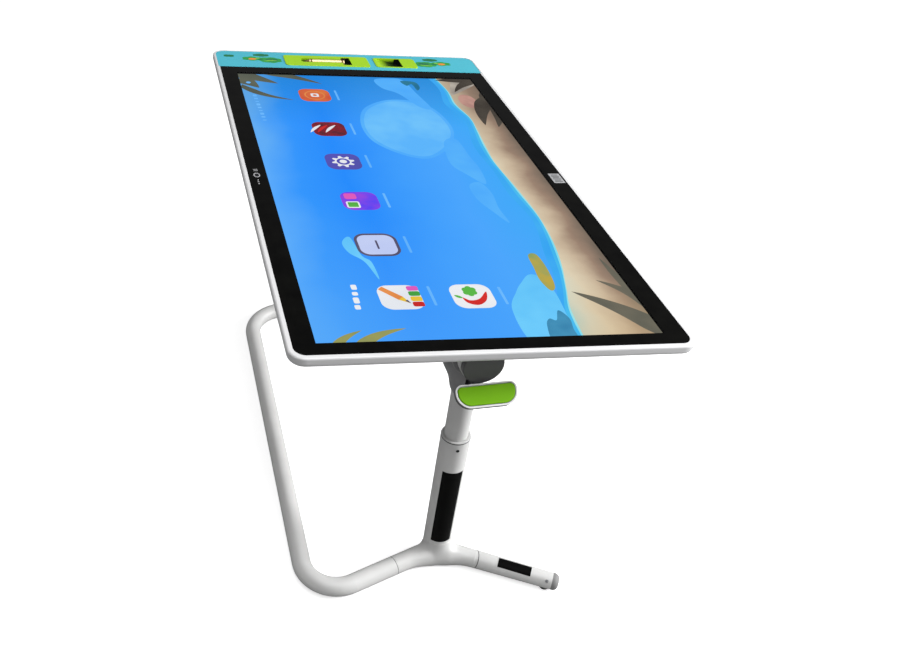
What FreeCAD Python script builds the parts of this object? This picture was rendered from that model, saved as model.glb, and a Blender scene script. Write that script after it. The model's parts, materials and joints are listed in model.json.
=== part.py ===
import FreeCAD, Part
import math
import os

# Touchscreen table on a telescopic column with a bent-tube floor base.
# Frame: origin on the floor under the column axis, +X towards the user, +Y along the
# table top away from the column, +Z up.  Millimetres.

V = FreeCAD.Vector
X_AXIS = V(1, 0, 0)
Y_AXIS = V(0, 1, 0)
Z_AXIS = V(0, 0, 1)

# ---- floor base -----------------------------------------------------------------
GLIDE_HEIGHT = 2.0            # the tubes hang this far above the floor
BASE_TUBE_R = 17.5
BASE_WALL = 2.0
BASE_AXIS_Z = GLIDE_HEIGHT + BASE_TUBE_R
LEG_ANGLE = 198.5             # near leg direction in plan, degrees from +X
FAR_LEG_ANGLE = -18.5         # far leg direction, mirror of the near one
FOOT_ANGLE = -29.2            # user-side foot direction
ARM_X = -254.0                # floor arm runs parallel to the table top here
NEAR_BEND_R = 63.0
FAR_BEND_R = 86.0
FAR_BEND_Y = 688.0            # start of the far bend
FAR_LEG_LENGTH = 330.0        # straight part of the far leg
HUB_LEG_LENGTH = 93.0         # hub socket length along the near leg
HUB_FOOT_LENGTH = 76.0        # hub socket length along the foot
HUB_TOP_Z = 58.0
HUB_FLOOR_Z = 12.0
HUB_PAD_Z = 3.0               # underside of the hub, on its rubber pad
HUB_PAD_R = 16.0
HUB_FILLET = 13.0
HUB_SOLID = 42.0             # the sockets are bored only beyond this distance
HUB_WALL = 4.0
FOOT_R_START = 17.0
FOOT_R_END = 15.6
FOOT_LENGTH = 216.0           # foot tube end, measured from the column axis
CAP_LENGTH = 12.0
GLIDE_R = 9.0
FOOT_LABEL_START = 117.0
FOOT_LABEL_LENGTH = 60.0
FOOT_SCREW_R = 1.5
FOOT_SCREW_SLOPE = 40.0       # the foot screw points down by this many degrees

# ---- telescopic column ----------------------------------------------------------
COLUMN_R = 25.0
COLUMN_BORE_R = 22.0
COLUMN_TOP_Z = 314.2
BUSH_FLANGE = 2.6
BUSH_LENGTH = 60.0
INNER_R = 20.0
INNER_BORE_R = 17.5
RUNNING_GAP = 0.05
INNER_BOTTOM_Z = 136.0
INNER_TOP_Z = 414.0
SET_SCREW_Z = 300.0
SET_SCREW_R = 2.0
SLIDE_RING_LENGTH = 34.0
SLIDE_RING_LIP = 4.0
LABEL_THICK = 0.4
LABEL_Z0 = 66.0
LABEL_Z1 = 246.0
LABEL_MID_ANGLE = -96.0
LABEL_ARC = 87.0

# ---- gas spring -----------------------------------------------------------------
GAS_R = 14.0
GAS_BORE_R = 11.0
GAS_Z0 = HUB_FLOOR_Z
GAS_Z1 = 262.0
PISTON_Z = 150.0
PISTON_LENGTH = 12.0
ROD_R = 5.0
ROD_TOP_Z = 440.0
PIN_R = 3.0

# ---- tilt head ------------------------------------------------------------------
AXIS_Z = 508.0                # tilt axis height
REST_TILT = 4.25              # rest tilt of the table top towards the user, degrees
BARREL_R = 40.0
BARREL_HALF = 30.0
BUSH_BORE_R = 10.05
BUSH_R = 14.0
SHAFT_R = 10.0
WASHER_T = 1.8
EAR_INNER_Y = BARREL_HALF + 2.2
EAR_OUTER_Y = 46.0
EAR_R = 33.6
CAP_R = 32.0
CAP_DEPTH = 10.0
LEVER_PIVOT_Y = 15.0
LEVER_PIVOT_Z = 455.0
LEVER_PIN_R = 2.5
PADDLE_CENTRE = V(4.5, -75.3, 469.4)
PADDLE_TILT = 35.0
PAD_WIDTH = 88.6
PAD_DEPTH = 29.4
PAD_GAP = 1.2                 # groove between the pad and its holder
PAD_TOP = 1.6
PAD_LOW = -0.7
HOLDER_RIM = 3.7              # the holder reaches this far beyond the pad
HOLDER_TOP = 1.2
HOLDER_LOW = -11.0
LEVER_HALF_WIDTH = 5.0
LEVER_PROFILE = ((22, 450), (22, 460), (-34, 460), (-57, 470), (-76, 461), (-66, 455),
                 (-36, 450))
LEVER_SLOT_HALF = 11.5
LEVER_SLOT_Z0 = 441.0
LEVER_SLOT_Z1 = 463.0
RELEASE_PIN_Z0 = 431.65
RELEASE_PIN_LENGTH = 18.0
SPRING_R = 4.4
SPRING_WIRE_R = 0.6
SPRING_PITCH = 1.6
SPRING_LENGTH = 4.2
# head casting: half widths across and along the table top, and height
HEAD_SECTIONS = ((INNER_R + 0.001, INNER_R, 414), (27, 24, 434), (37, 28, 462), (45.5, 29, 486),
                 (44.5, 29, 500), (38, 28, 514))
BRACKET_PLATE_T = 6.0
BRACKET_SIDE_T = 4.0
BRACKET_Y1 = 62.0
BRACKET_WING = 44.0
NUT_R = 15.0
NUT_T = 6.0

# ---- table top, in its own frame: depths are below the front face ----------------
FACE_H = 65.3                 # front face above the tilt axis
TOP_MID_Y = 402.0             # middle of the picture area
FRAME_HALF_X = 307.0
FRAME_Y0 = -103.0
FRAME_Y1 = 997.0
FRAME_T = 18.0
FRAME_CORNER_R = 25.0
GLASS_HALF_X = 298.4
GLASS_Y0 = TOP_MID_Y - 496.5
GLASS_Y1 = TOP_MID_Y + 500.6
GLASS_CORNER_R = 18.0
GLASS_T = 3.0
GLASS_SET = 0.4               # glass sits this far below the rim
TRAY_Y0 = GLASS_Y1 + 1.0
TRAY_Y1 = TOP_MID_Y + 589.5
TRAY_HALF_X = 301.0
TRAY_CORNER_R = 20.0
SEAT_GAP = 0.3
LEDGE = 8.0
PICTURE_HALF_X = 264.7
PICTURE_HALF_Y = 470.6
LCD_TOP = 4.4                 # depths of the display layers
LCD_LOW = 6.2
GUIDE_TOP = 6.4
GUIDE_LOW = 10.4
BACKLIGHT_FLOOR = 10.6
BACKLIGHT_LOW = 12.2
HOUSING_HALF_X = 215.0
HOUSING_Y0 = 70.0
HOUSING_Y1 = 860.0
HOUSING_DEPTH = 42.0
RAIL_X = 75.0
RAIL_W = 30.0
RAIL_H = 16.0
RAIL_WALL = 2.0
RAIL_Y0 = -46.0
RAIL_Y1 = 800.0
BOLT_R = 3.0
BOLT_DROP = 11.0              # bracket bolts, below the top of the rails
SKIN = 2.5
KEY_Y0 = 646.0
KEY_Y1 = 692.0
KEY_TOP = 5.0
KEY_LOW = 10.5
KEY_STEM_INSET = 18.0
COVER_SCREW_R = 1.6
COVER_SCREW_X = 276.0
INLET_X0 = 95.0
INLET_X1 = 145.0
VENT_X = 160.0
VENT_HALF = 28.0
VENT_Y0 = 330.0
VENT_PITCH = 14.0
VENT_WIDTH = 5.0
VENT_COUNT = 16
BOARD_TOP = 19.0
BOARD_LOW = 20.6
SPEAKER_X = 150.0
SPEAKER_HALF = 45.0
SPEAKER_Y0 = 780.0
SPEAKER_Y1 = 832.0
SPEAKER_CONE_R = 19.0

PLATE_X0 = 273.0              # blank silver plate on the glass border
PLATE_X1 = 295.0
PLATE_Y0 = TOP_MID_Y - 15
PLATE_Y1 = TOP_MID_Y + 21

# ---- writing-tool strip ----------------------------------------------------------
PEN_X0 = -150.0
PEN_X1 = 44.0
PEN_Y0 = TOP_MID_Y + 516
PEN_Y1 = TOP_MID_Y + 573
ERASER_X0 = 58.0
ERASER_X1 = 156.0
ERASER_Y0 = TOP_MID_Y + 518
ERASER_Y1 = TOP_MID_Y + 571
PEN_Y = TOP_MID_Y + 547
PEN_TIP_X = -106.0
PEN_END_X = -12.0
PEN_R = 5.4
PEN_DEPTH = 2.8               # stylus axis below the front face
PEN_NIB_LENGTH = 13.0
PEN_NIB_R = 1.9
INSERT_PROUD = 1.0            # the lime inserts stand this far above the front face
INSERT_CORNER_R = 8.0
INSERT_DEPTH = 13.5
POCKET_DEPTH = 12.0


# ---- helpers --------------------------------------------------------------------
def save(shape, name):
    shape.exportStep("parts/" + name + ".step")


def cyl(radius, length, base, axis=Z_AXIS):
    return Part.makeCylinder(radius, length, base, axis)


def box(x0, x1, y0, y1, z0, z1):
    return Part.makeBox(x1 - x0, y1 - y0, z1 - z0, V(x0, y0, z0))


def tube(outer, inner, length, base, axis=Z_AXIS):
    return cyl(outer, length, base, axis).cut(cyl(inner, length, base, axis))


def fused(shapes):
    body = shapes[0]
    for other in shapes[1:]:
        body = body.fuse(other)
    return body.removeSplitter()


def plan_dir(angle):
    a = math.radians(angle)
    return V(math.cos(a), math.sin(a), 0)


def slab(x0, x1, y0, y1, z0, z1, radius):
    """Upright plate with rounded corners in plan."""
    plate = box(x0, x1, y0, y1, z0, z1)
    upright = [e for e in plate.Edges if abs(e.tangentAt(e.FirstParameter).z) > 0.99]
    return plate.makeFillet(radius, upright)


def edges_at_z(shape, z):
    found = []
    for e in shape.Edges:
        b = e.BoundBox
        if abs(b.ZMin - z) < 0.01 and abs(b.ZMax - z) < 0.01:
            found.append(e)
    return found


def depth(d):
    """Height in the level table-top frame of a point d below the front face."""
    return AXIS_Z + FACE_H - d


def tilted(shape):
    """Turn a shape built level into the rest tilt about the hinge axis."""
    turned = shape.copy()
    turned.rotate(V(0, 0, AXIS_Z), Y_AXIS, REST_TILT)
    return turned


def screw(radius, length, head_r, head_t, base, axis):
    """Pan-head screw: the head starts at base and the shank runs along axis."""
    head = cyl(head_r, head_t, base, axis)
    shank = cyl(radius, length + head_t, base, axis)
    recess = cyl(head_r * 0.42, head_t * 0.5, base, axis)
    return head.fuse(shank).cut(recess)


# ---- floor base -----------------------------------------------------------------
def base_path():
    """Centre line of the bent base tube, from the hub seam to the far leg's end."""
    leg = plan_dir(LEG_ANGLE)
    far = plan_dir(FAR_LEG_ANGLE)
    lift = V(0, 0, BASE_AXIS_Z)
    # near bend: tangent to the leg line through the origin and to the arm line
    left_of_leg = V(leg.y, -leg.x, 0)
    near_x = ARM_X + NEAR_BEND_R
    near_y = (NEAR_BEND_R - near_x * left_of_leg.x) / left_of_leg.y
    near = V(near_x, near_y, 0)
    near_start = near - V(left_of_leg).multiply(NEAR_BEND_R)
    near_end = V(ARM_X, near_y, 0)
    near_mid = near + mid_dir(near, near_start, near_end).multiply(NEAR_BEND_R)
    # far bend: from the arm line round to the far leg
    far_centre = V(ARM_X + FAR_BEND_R, FAR_BEND_Y, 0)
    far_start = V(ARM_X, FAR_BEND_Y, 0)
    far_end = far_centre + V(-far.y, far.x, 0).multiply(FAR_BEND_R)
    far_mid = far_centre + mid_dir(far_centre, far_start, far_end).multiply(FAR_BEND_R)
    tip = far_end + V(far).multiply(FAR_LEG_LENGTH)
    seam = V(leg).multiply(HUB_LEG_LENGTH)
    points = [p + lift for p in (seam, near_start, near_mid, near_end, far_start,
                                 far_mid, far_end, tip)]
    a, b, c, d, e, f, g, h = points
    edges = [Part.makeLine(a, b), Part.Arc(b, c, d).toShape(), Part.makeLine(d, e),
             Part.Arc(e, f, g).toShape(), Part.makeLine(g, h)]
    return Part.Wire(edges), a, leg, tip + lift, far


def mid_dir(centre, p, q):
    """Unit vector from centre to the middle of the arc from p to q."""
    m = (p - centre).normalize() + (q - centre).normalize()
    return m.normalize()


def swept(path, start, direction, radius):
    ring = Part.Wire(Part.makeCircle(radius, start, direction))
    return path.makePipeShell([ring], True, False)


def make_base_tube():
    path, start, leg, tip, far = base_path()
    outer = swept(path, start, leg, BASE_TUBE_R)
    inner = swept(path, start, leg, BASE_TUBE_R - BASE_WALL)
    return outer.cut(inner)


def make_far_leg_cap():
    path, start, leg, tip, far = base_path()
    return rounded_cap(tip, far, BASE_TUBE_R, BASE_TUBE_R - BASE_WALL)


def rounded_cap(base, direction, radius, bore):
    """Rubber end cap with a domed nose and a plug that fills the tube."""
    nose = cyl(radius, CAP_LENGTH, base, direction)
    far_rim = base + V(direction).multiply(CAP_LENGTH)
    rim = [e for e in nose.Edges if (e.CenterOfMass - far_rim).Length < 0.5 and e.Closed]
    nose = nose.makeFillet(CAP_LENGTH * 0.75, rim)
    plug = cyl(bore - 0.02, CAP_LENGTH, base - V(direction).multiply(CAP_LENGTH), direction)
    return nose.fuse(plug)


def make_hub():
    """Y-shaped casting that joins the column, the near leg and the user-side foot."""
    leg = plan_dir(LEG_ANGLE)
    foot = plan_dir(FOOT_ANGLE)
    foot_z = GLIDE_HEIGHT + FOOT_R_START
    stem = cyl(COLUMN_R, HUB_TOP_Z - HUB_PAD_Z, V(0, 0, HUB_PAD_Z))
    near = cyl(BASE_TUBE_R, HUB_LEG_LENGTH, V(0, 0, BASE_AXIS_Z), leg)
    side = cyl(FOOT_R_START, HUB_FOOT_LENGTH, V(0, 0, foot_z), foot)
    body = fused([stem, near, side])
    body = smooth_joints(body)
    body = body.cut(cyl(COLUMN_BORE_R, HUB_TOP_Z, V(0, 0, HUB_FLOOR_Z)))
    near_start = V(leg).multiply(HUB_SOLID) + V(0, 0, BASE_AXIS_Z)
    side_start = V(foot).multiply(HUB_SOLID) + V(0, 0, foot_z)
    body = body.cut(cyl(BASE_TUBE_R - HUB_WALL, HUB_LEG_LENGTH, near_start, leg))
    body = body.cut(cyl(FOOT_R_START - HUB_WALL, HUB_FOOT_LENGTH, side_start, foot))
    body = body.cut(cyl(4.0, HUB_FLOOR_Z, V(0, 0, 0)))
    body = body.cut(cyl(7.6, HUB_PAD_Z + 5.0, V(0, 0, 0)))
    return body.cut(cyl(HUB_PAD_R + 0.1, HUB_PAD_Z, V(0, 0, 0)))


def smooth_joints(body):
    """Cast fillets where the legs meet the stem, as large as the shape accepts."""
    reach = COLUMN_R + 8.0
    joints = []
    for e in body.Edges:
        b = e.BoundBox
        inside = max(abs(b.XMin), abs(b.XMax), abs(b.YMin), abs(b.YMax)) < reach
        if inside and b.ZMin > GLIDE_HEIGHT + 1.5 and b.ZMax < HUB_TOP_Z - 1.0:
            joints.append(e)
    for radius in (HUB_FILLET, HUB_FILLET * 0.7, HUB_FILLET * 0.4):
        try:
            filleted = body.makeFillet(radius, joints)
        except Part.OCCError:
            continue
        if filleted.isValid():
            return filleted
    return body


def make_foot_tube():
    foot = plan_dir(FOOT_ANGLE)
    start = V(foot).multiply(HUB_FOOT_LENGTH) + V(0, 0, GLIDE_HEIGHT + FOOT_R_START)
    length = FOOT_LENGTH - HUB_FOOT_LENGTH
    outer = Part.makeCone(FOOT_R_START, FOOT_R_END, length, start, foot)
    inner = Part.makeCone(FOOT_R_START - BASE_WALL, FOOT_R_END - BASE_WALL, length, start, foot)
    hole = cyl(FOOT_SCREW_R, 30, foot_screw_point(), foot_screw_axis())
    return outer.cut(inner).cut(hole)


def make_foot_cap():
    foot = plan_dir(FOOT_ANGLE)
    base = V(foot).multiply(FOOT_LENGTH) + V(0, 0, GLIDE_HEIGHT + FOOT_R_START)
    cap = rounded_cap(base, foot, FOOT_R_END, FOOT_R_END - BASE_WALL)
    return cap.cut(cyl(FOOT_SCREW_R, 30, foot_screw_point(), foot_screw_axis()))


def foot_screw_axis():
    foot = plan_dir(FOOT_ANGLE)
    slope = math.radians(FOOT_SCREW_SLOPE)
    outward = V(foot.y, -foot.x, 0).multiply(math.cos(slope))
    return V(0, 0, -math.sin(slope)) - outward


def foot_screw_point():
    foot = plan_dir(FOOT_ANGLE)
    centre = V(foot).multiply(FOOT_LENGTH - 9.0) + V(0, 0, GLIDE_HEIGHT + FOOT_R_START)
    return centre - foot_screw_axis().multiply(FOOT_R_END + 1.5)


def make_foot_screw():
    return screw(FOOT_SCREW_R, 9.0, 2.8, 1.2, foot_screw_point(), foot_screw_axis())


def tube_solids():
    """The base tube and the foot without their bores."""
    path, start, leg, tip, far = base_path()
    foot = plan_dir(FOOT_ANGLE)
    foot_start = V(foot).multiply(HUB_FOOT_LENGTH) + V(0, 0, GLIDE_HEIGHT + FOOT_R_START)
    length = FOOT_LENGTH - HUB_FOOT_LENGTH
    return [swept(path, start, leg, BASE_TUBE_R),
            Part.makeCone(FOOT_R_START, FOOT_R_END, length, foot_start, foot)]


def make_glides():
    """Rubber pads under the base, hollowed to sit against the tubes."""
    tubes = tube_solids()
    leg = plan_dir(LEG_ANGLE)
    foot = plan_dir(FOOT_ANGLE)
    far = base_path()[3] - plan_dir(FAR_LEG_ANGLE).multiply(30)
    spots = [V(foot).multiply(FOOT_LENGTH - 11), V(leg).multiply(150), V(ARM_X, 60, 0),
             V(ARM_X, FAR_BEND_Y - 30, 0), V(far.x, far.y, 0)]
    pads = [cyl(HUB_PAD_R, HUB_PAD_Z, V(0, 0, 0))]
    for spot in spots:
        pad = cyl(GLIDE_R, 5.0, V(spot.x, spot.y, 0))
        for solid in tubes:
            pad = pad.cut(solid)
        pads.append(pad.Solids[0])
    return Part.makeCompound(pads)


# ---- telescopic column ----------------------------------------------------------
def make_outer_column():
    body = tube(COLUMN_R, COLUMN_BORE_R, COLUMN_TOP_Z - HUB_TOP_Z, V(0, 0, HUB_TOP_Z))
    return body.cut(cyl(SET_SCREW_R, 10, set_screw_point(), set_screw_axis()))


def set_screw_axis():
    a = math.radians(LABEL_MID_ANGLE)
    return V(-math.cos(a), -math.sin(a), 0)


def set_screw_point():
    return V(0, 0, SET_SCREW_Z) - set_screw_axis().multiply(COLUMN_R + 0.4)


def make_set_screw():
    return screw(SET_SCREW_R, 4.0, 2.9, 0.4, set_screw_point(), set_screw_axis())


def make_guide_bush():
    z0 = COLUMN_TOP_Z - BUSH_LENGTH
    sleeve = tube(COLUMN_BORE_R, INNER_R + RUNNING_GAP, BUSH_LENGTH, V(0, 0, z0))
    flange = tube(COLUMN_R - 0.4, INNER_R + RUNNING_GAP, BUSH_FLANGE, V(0, 0, COLUMN_TOP_Z))
    top = edges_at_z(flange, COLUMN_TOP_Z + BUSH_FLANGE)
    flange = flange.makeFillet(0.9, top)
    hole = cyl(SET_SCREW_R, 5.0, set_screw_point(), set_screw_axis())
    return sleeve.fuse(flange).cut(hole)


def make_column_label():
    """Blank dark plate wrapped round the column."""
    profile = box(COLUMN_R, COLUMN_R + LABEL_THICK, -0.01, 0.01, LABEL_Z0, LABEL_Z1)
    face = [f for f in profile.Faces if abs(f.normalAt(0, 0).y - 1) < 0.01][0]
    face.translate(V(0, -0.01, 0))
    plate = face.revolve(V(0, 0, 0), Z_AXIS, LABEL_ARC)
    plate.rotate(V(0, 0, 0), Z_AXIS, LABEL_MID_ANGLE - LABEL_ARC / 2)
    return plate


def make_foot_label():
    """Blank dark plate curved over the top of the foot."""
    foot = plan_dir(FOOT_ANGLE)
    start = V(foot).multiply(FOOT_LABEL_START) + V(0, 0, GLIDE_HEIGHT + FOOT_R_START)
    slope = (FOOT_R_START - FOOT_R_END) / (FOOT_LENGTH - HUB_FOOT_LENGTH)
    r0 = FOOT_R_START - slope * (FOOT_LABEL_START - HUB_FOOT_LENGTH)
    r1 = r0 - slope * FOOT_LABEL_LENGTH
    outer = Part.makeCone(r0 + LABEL_THICK, r1 + LABEL_THICK, FOOT_LABEL_LENGTH, start, foot)
    inner = Part.makeCone(r0, r1, FOOT_LABEL_LENGTH, start, foot)
    sleeve = outer.cut(inner)
    window = box(0, FOOT_LABEL_LENGTH, -12.5, 5.0, 0, 40)
    window.rotate(V(0, 0, 0), Z_AXIS, FOOT_ANGLE)
    window.translate(start)
    return sleeve.common(window)


def make_inner_column():
    return tube(INNER_R, INNER_BORE_R, INNER_TOP_Z - INNER_BOTTOM_Z, V(0, 0, INNER_BOTTOM_Z))


def make_slide_ring():
    """Polymer ring at the foot of the inner tube that runs in the outer one."""
    z0 = INNER_BOTTOM_Z - SLIDE_RING_LIP
    ring = tube(COLUMN_BORE_R - RUNNING_GAP, INNER_R, SLIDE_RING_LENGTH, V(0, 0, z0))
    lip = tube(INNER_R, GAS_R + 0.6, SLIDE_RING_LIP, V(0, 0, z0))
    return ring.fuse(lip)


# ---- gas spring -----------------------------------------------------------------
def make_gas_cylinder():
    body = cyl(GAS_R, GAS_Z1 - GAS_Z0, V(0, 0, GAS_Z0))
    body = body.makeFillet(2.0, edges_at_z(body, GAS_Z1))
    body = body.cut(cyl(GAS_BORE_R, GAS_Z1 - GAS_Z0 - 24.0, V(0, 0, GAS_Z0 + 18.0)))
    body = body.cut(cyl(ROD_R + RUNNING_GAP, 20.0, V(0, 0, GAS_Z1 - 10.0)))
    return body.cut(cyl(4.0, 12.0, V(0, 0, GAS_Z0)))


def make_gas_bolt():
    return screw(4.0, 16.0, 7.0, 4.0, V(0, 0, HUB_PAD_Z + 0.2), Z_AXIS)


def make_gas_rod():
    rod = cyl(ROD_R, ROD_TOP_Z - PISTON_Z, V(0, 0, PISTON_Z))
    return rod.cut(cyl(PIN_R + RUNNING_GAP, 14.0, V(0, 0, ROD_TOP_Z - 14.0)))


def make_gas_piston():
    piston = cyl(GAS_BORE_R - RUNNING_GAP, PISTON_LENGTH, V(0, 0, PISTON_Z - 4.0))
    return piston.cut(cyl(ROD_R, PISTON_LENGTH, V(0, 0, PISTON_Z)))


# ---- tilt head ------------------------------------------------------------------
def ellipse_section(rx, ry, z):
    """Closed smooth section of the head casting, longer in X when rx > ry."""
    if abs(rx - ry) < 1e-6:
        edge = Part.makeCircle(rx, V(0, 0, z))
    else:
        edge = Part.Ellipse(V(rx, 0, z), V(0, ry, z), V(0, 0, z)).toShape()
    return Part.Wire(edge)


def make_head_casting():
    """Flared neck that carries the barrel of the tilt hinge."""
    neck = Part.makeLoft([ellipse_section(rx, ry, z) for rx, ry, z in HEAD_SECTIONS], True, False)
    barrel = cyl(BARREL_R, 2 * BARREL_HALF, V(0, -BARREL_HALF, AXIS_Z), Y_AXIS)
    rims = [e for e in barrel.Edges if e.Closed and abs(e.BoundBox.YMax - e.BoundBox.YMin) < 0.01]
    barrel = barrel.makeFillet(2.0, rims)
    spigot = cyl(INNER_BORE_R - 0.02, 26.0, V(0, 0, INNER_TOP_Z - 25.0))
    body = fused([neck, barrel, spigot])
    body = body.cut(cyl(BUSH_R, 200, V(0, -100, AXIS_Z), Y_AXIS))
    body = body.cut(cyl(ROD_R, ROD_TOP_Z - 300, V(0, 0, 300)))
    # slot for the release lever, open to the front
    body = body.cut(box(-LEVER_SLOT_HALF, LEVER_SLOT_HALF, -60, 26, LEVER_SLOT_Z0, LEVER_SLOT_Z1))
    body = body.cut(cyl(PIN_R + 1.5, 3, V(0, 0, ROD_TOP_Z)))
    return body.cut(cyl(LEVER_PIN_R, 120, V(-60, LEVER_PIVOT_Y, LEVER_PIVOT_Z), X_AXIS))


def make_head_bushes():
    bushes = []
    for side in (-1, 1):
        start = V(0, side * BARREL_HALF, AXIS_Z)
        inward = V(0, -side, 0)
        sleeve = tube(BUSH_R, BUSH_BORE_R, 24.0, start, inward)
        bushes.append(sleeve)
    return Part.makeCompound(bushes)


def make_lever_pin():
    return cyl(LEVER_PIN_R, 44, V(-22, LEVER_PIVOT_Y, LEVER_PIVOT_Z), X_AXIS)


def make_release_pin():
    pin = cyl(PIN_R, RELEASE_PIN_LENGTH, V(0, 0, RELEASE_PIN_Z0))
    return pin.makeFillet(2.4, edges_at_z(pin, RELEASE_PIN_Z0 + RELEASE_PIN_LENGTH))


def make_return_spring():
    """Torsion coil round the lever pin, beside the lever."""
    helix = Part.makeHelix(SPRING_PITCH, SPRING_LENGTH, SPRING_R)
    ring = Part.Wire(Part.makeCircle(SPRING_WIRE_R, V(SPRING_R, 0, 0), Y_AXIS))
    coil = Part.Wire(helix.Edges).makePipeShell([ring], True, True)
    coil.rotate(V(0, 0, 0), Y_AXIS, 90)
    coil.translate(V(-10.6, LEVER_PIVOT_Y, LEVER_PIVOT_Z))
    return coil


def paddle_outline(grow):
    """Outline of the lever pad in its own plane: straight top edge, round lower corners."""
    half = PAD_WIDTH / 2 + grow
    top = grow
    bottom = -PAD_DEPTH - grow
    small = 7.0 + grow
    large = 19.0 + grow
    c = math.cos(math.radians(45))
    left_top = V(-half, top - small, 0)
    right_top = V(half, top - small, 0)
    edges = [
        Part.makeLine(V(-half + small, top, 0), V(half - small, top, 0)),
        Part.Arc(V(half - small, top, 0),
                 V(half - small + small * c, top - small + small * c, 0), right_top).toShape(),
        Part.makeLine(right_top, V(half, bottom + large, 0)),
        Part.Arc(V(half, bottom + large, 0),
                 V(half - large + large * c, bottom + large - large * c, 0),
                 V(half - large, bottom, 0)).toShape(),
        Part.makeLine(V(half - large, bottom, 0), V(-half + large, bottom, 0)),
        Part.Arc(V(-half + large, bottom, 0),
                 V(-half + large - large * c, bottom + large - large * c, 0),
                 V(-half, bottom + large, 0)).toShape(),
        Part.makeLine(V(-half, bottom + large, 0), left_top),
        Part.Arc(left_top, V(-half + small - small * c, top - small + small * c, 0),
                 V(-half + small, top, 0)).toShape(),
    ]
    return Part.Face(Part.Wire(edges))


def on_paddle(shape):
    """Place a shape drawn in the pad's plane: +Y of the drawing points up the slope."""
    placed = shape.copy()
    placed.translate(V(0, PAD_DEPTH / 2, 0))
    placed.rotate(V(0, 0, 0), X_AXIS, PADDLE_TILT)
    placed.translate(PADDLE_CENTRE)
    return placed


def paddle_plate(grow, low, high):
    plate = paddle_outline(grow).extrude(V(0, 0, high - low))
    plate.translate(V(0, 0, low))
    return plate


def make_lever():
    """Release lever: arm through the head, pad holder in front of it."""
    holder = paddle_plate(HOLDER_RIM, HOLDER_LOW, HOLDER_TOP)
    holder = holder.makeFillet(3.0, edges_at_z(holder, HOLDER_LOW))
    holder = holder.makeFillet(0.5, edges_at_z(holder, HOLDER_TOP))
    pocket = paddle_plate(PAD_GAP, PAD_LOW - 0.1, PAD_TOP + 2.0)
    holder = on_paddle(holder.cut(pocket))
    corners = [V(-LEVER_HALF_WIDTH, y, z) for y, z in LEVER_PROFILE]
    arm = Part.Face(Part.makePolygon(corners + corners[:1])).extrude(V(2 * LEVER_HALF_WIDTH, 0, 0))
    body = holder.fuse(arm).removeSplitter()
    pivot = V(-60, LEVER_PIVOT_Y, LEVER_PIVOT_Z)
    return body.cut(cyl(LEVER_PIN_R + RUNNING_GAP, 120, pivot, X_AXIS))


def make_lever_pad():
    pad = paddle_plate(0.0, PAD_LOW, PAD_TOP)
    return on_paddle(pad.makeFillet(1.2, edges_at_z(pad, PAD_TOP)))


# ---- hinge parts that move with the table top ------------------------------------
def make_tilt_shaft():
    shaft = cyl(SHAFT_R, 2 * EAR_OUTER_Y + 6, V(0, -EAR_OUTER_Y - 3, AXIS_Z), Y_AXIS)
    ends = [e for e in shaft.Edges if e.Closed and abs(e.BoundBox.YMax - e.BoundBox.YMin) < 0.01]
    return shaft.makeChamfer(1.0, ends)


def make_bracket():
    """Welded yoke: two ears on the shaft, a top plate, and flanges bolted to the rails."""
    top_h = depth(FRAME_T)
    flange_x = RAIL_X - RAIL_W / 2
    plate = box(-flange_x, flange_x, RAIL_Y0, BRACKET_Y1, top_h - BRACKET_PLATE_T, top_h)
    parts = [plate]
    for side in (-1, 1):
        x0 = min(side * flange_x, side * (flange_x - BRACKET_SIDE_T))
        parts.append(box(x0, x0 + BRACKET_SIDE_T, RAIL_Y0, BRACKET_Y1, top_h - RAIL_H, top_h))
        y0 = EAR_INNER_Y if side > 0 else -EAR_OUTER_Y
        thick = EAR_OUTER_Y - EAR_INNER_Y
        disc = cyl(EAR_R, thick, V(0, y0, AXIS_Z), Y_AXIS)
        wing = Part.makePolygon([V(-BRACKET_WING, y0, top_h - 3), V(BRACKET_WING, y0, top_h - 3),
                                 V(EAR_R - 1.2, y0, AXIS_Z - 8), V(-EAR_R + 1.2, y0, AXIS_Z - 8),
                                 V(-BRACKET_WING, y0, top_h - 3)])
        parts.append(disc)
        parts.append(Part.Face(wing).extrude(V(0, thick, 0)))
    body = fused(parts)
    body = body.cut(cyl(SHAFT_R, 200, V(0, -100, AXIS_Z), Y_AXIS))
    for y in bolt_rows():
        body = body.cut(cyl(BOLT_R, 200, V(-100, y, top_h - BOLT_DROP), X_AXIS))
    return tilted(body)


def bolt_rows():
    return (-20.0, 10.0, 40.0)


def make_bracket_bolts():
    bolts = []
    h = depth(FRAME_T) - BOLT_DROP
    inner = RAIL_X - RAIL_W / 2 - BRACKET_SIDE_T
    for y in bolt_rows():
        bolts.append(screw(BOLT_R, RAIL_W, 4.9, 4.0, V(inner - 4, y, h), X_AXIS))
        bolts.append(screw(BOLT_R, RAIL_W, 4.9, 4.0, V(-inner + 4, y, h), V(-1, 0, 0)))
    return tilted(Part.makeCompound(bolts))


def make_washers():
    rings = []
    for side in (-1, 1):
        y = -BARREL_HALF - 0.15 - WASHER_T if side < 0 else BARREL_HALF + 0.15
        rings.append(tube(24.0, SHAFT_R, WASHER_T, V(0, y, AXIS_Z), Y_AXIS))
    return Part.makeCompound(rings)


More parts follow.
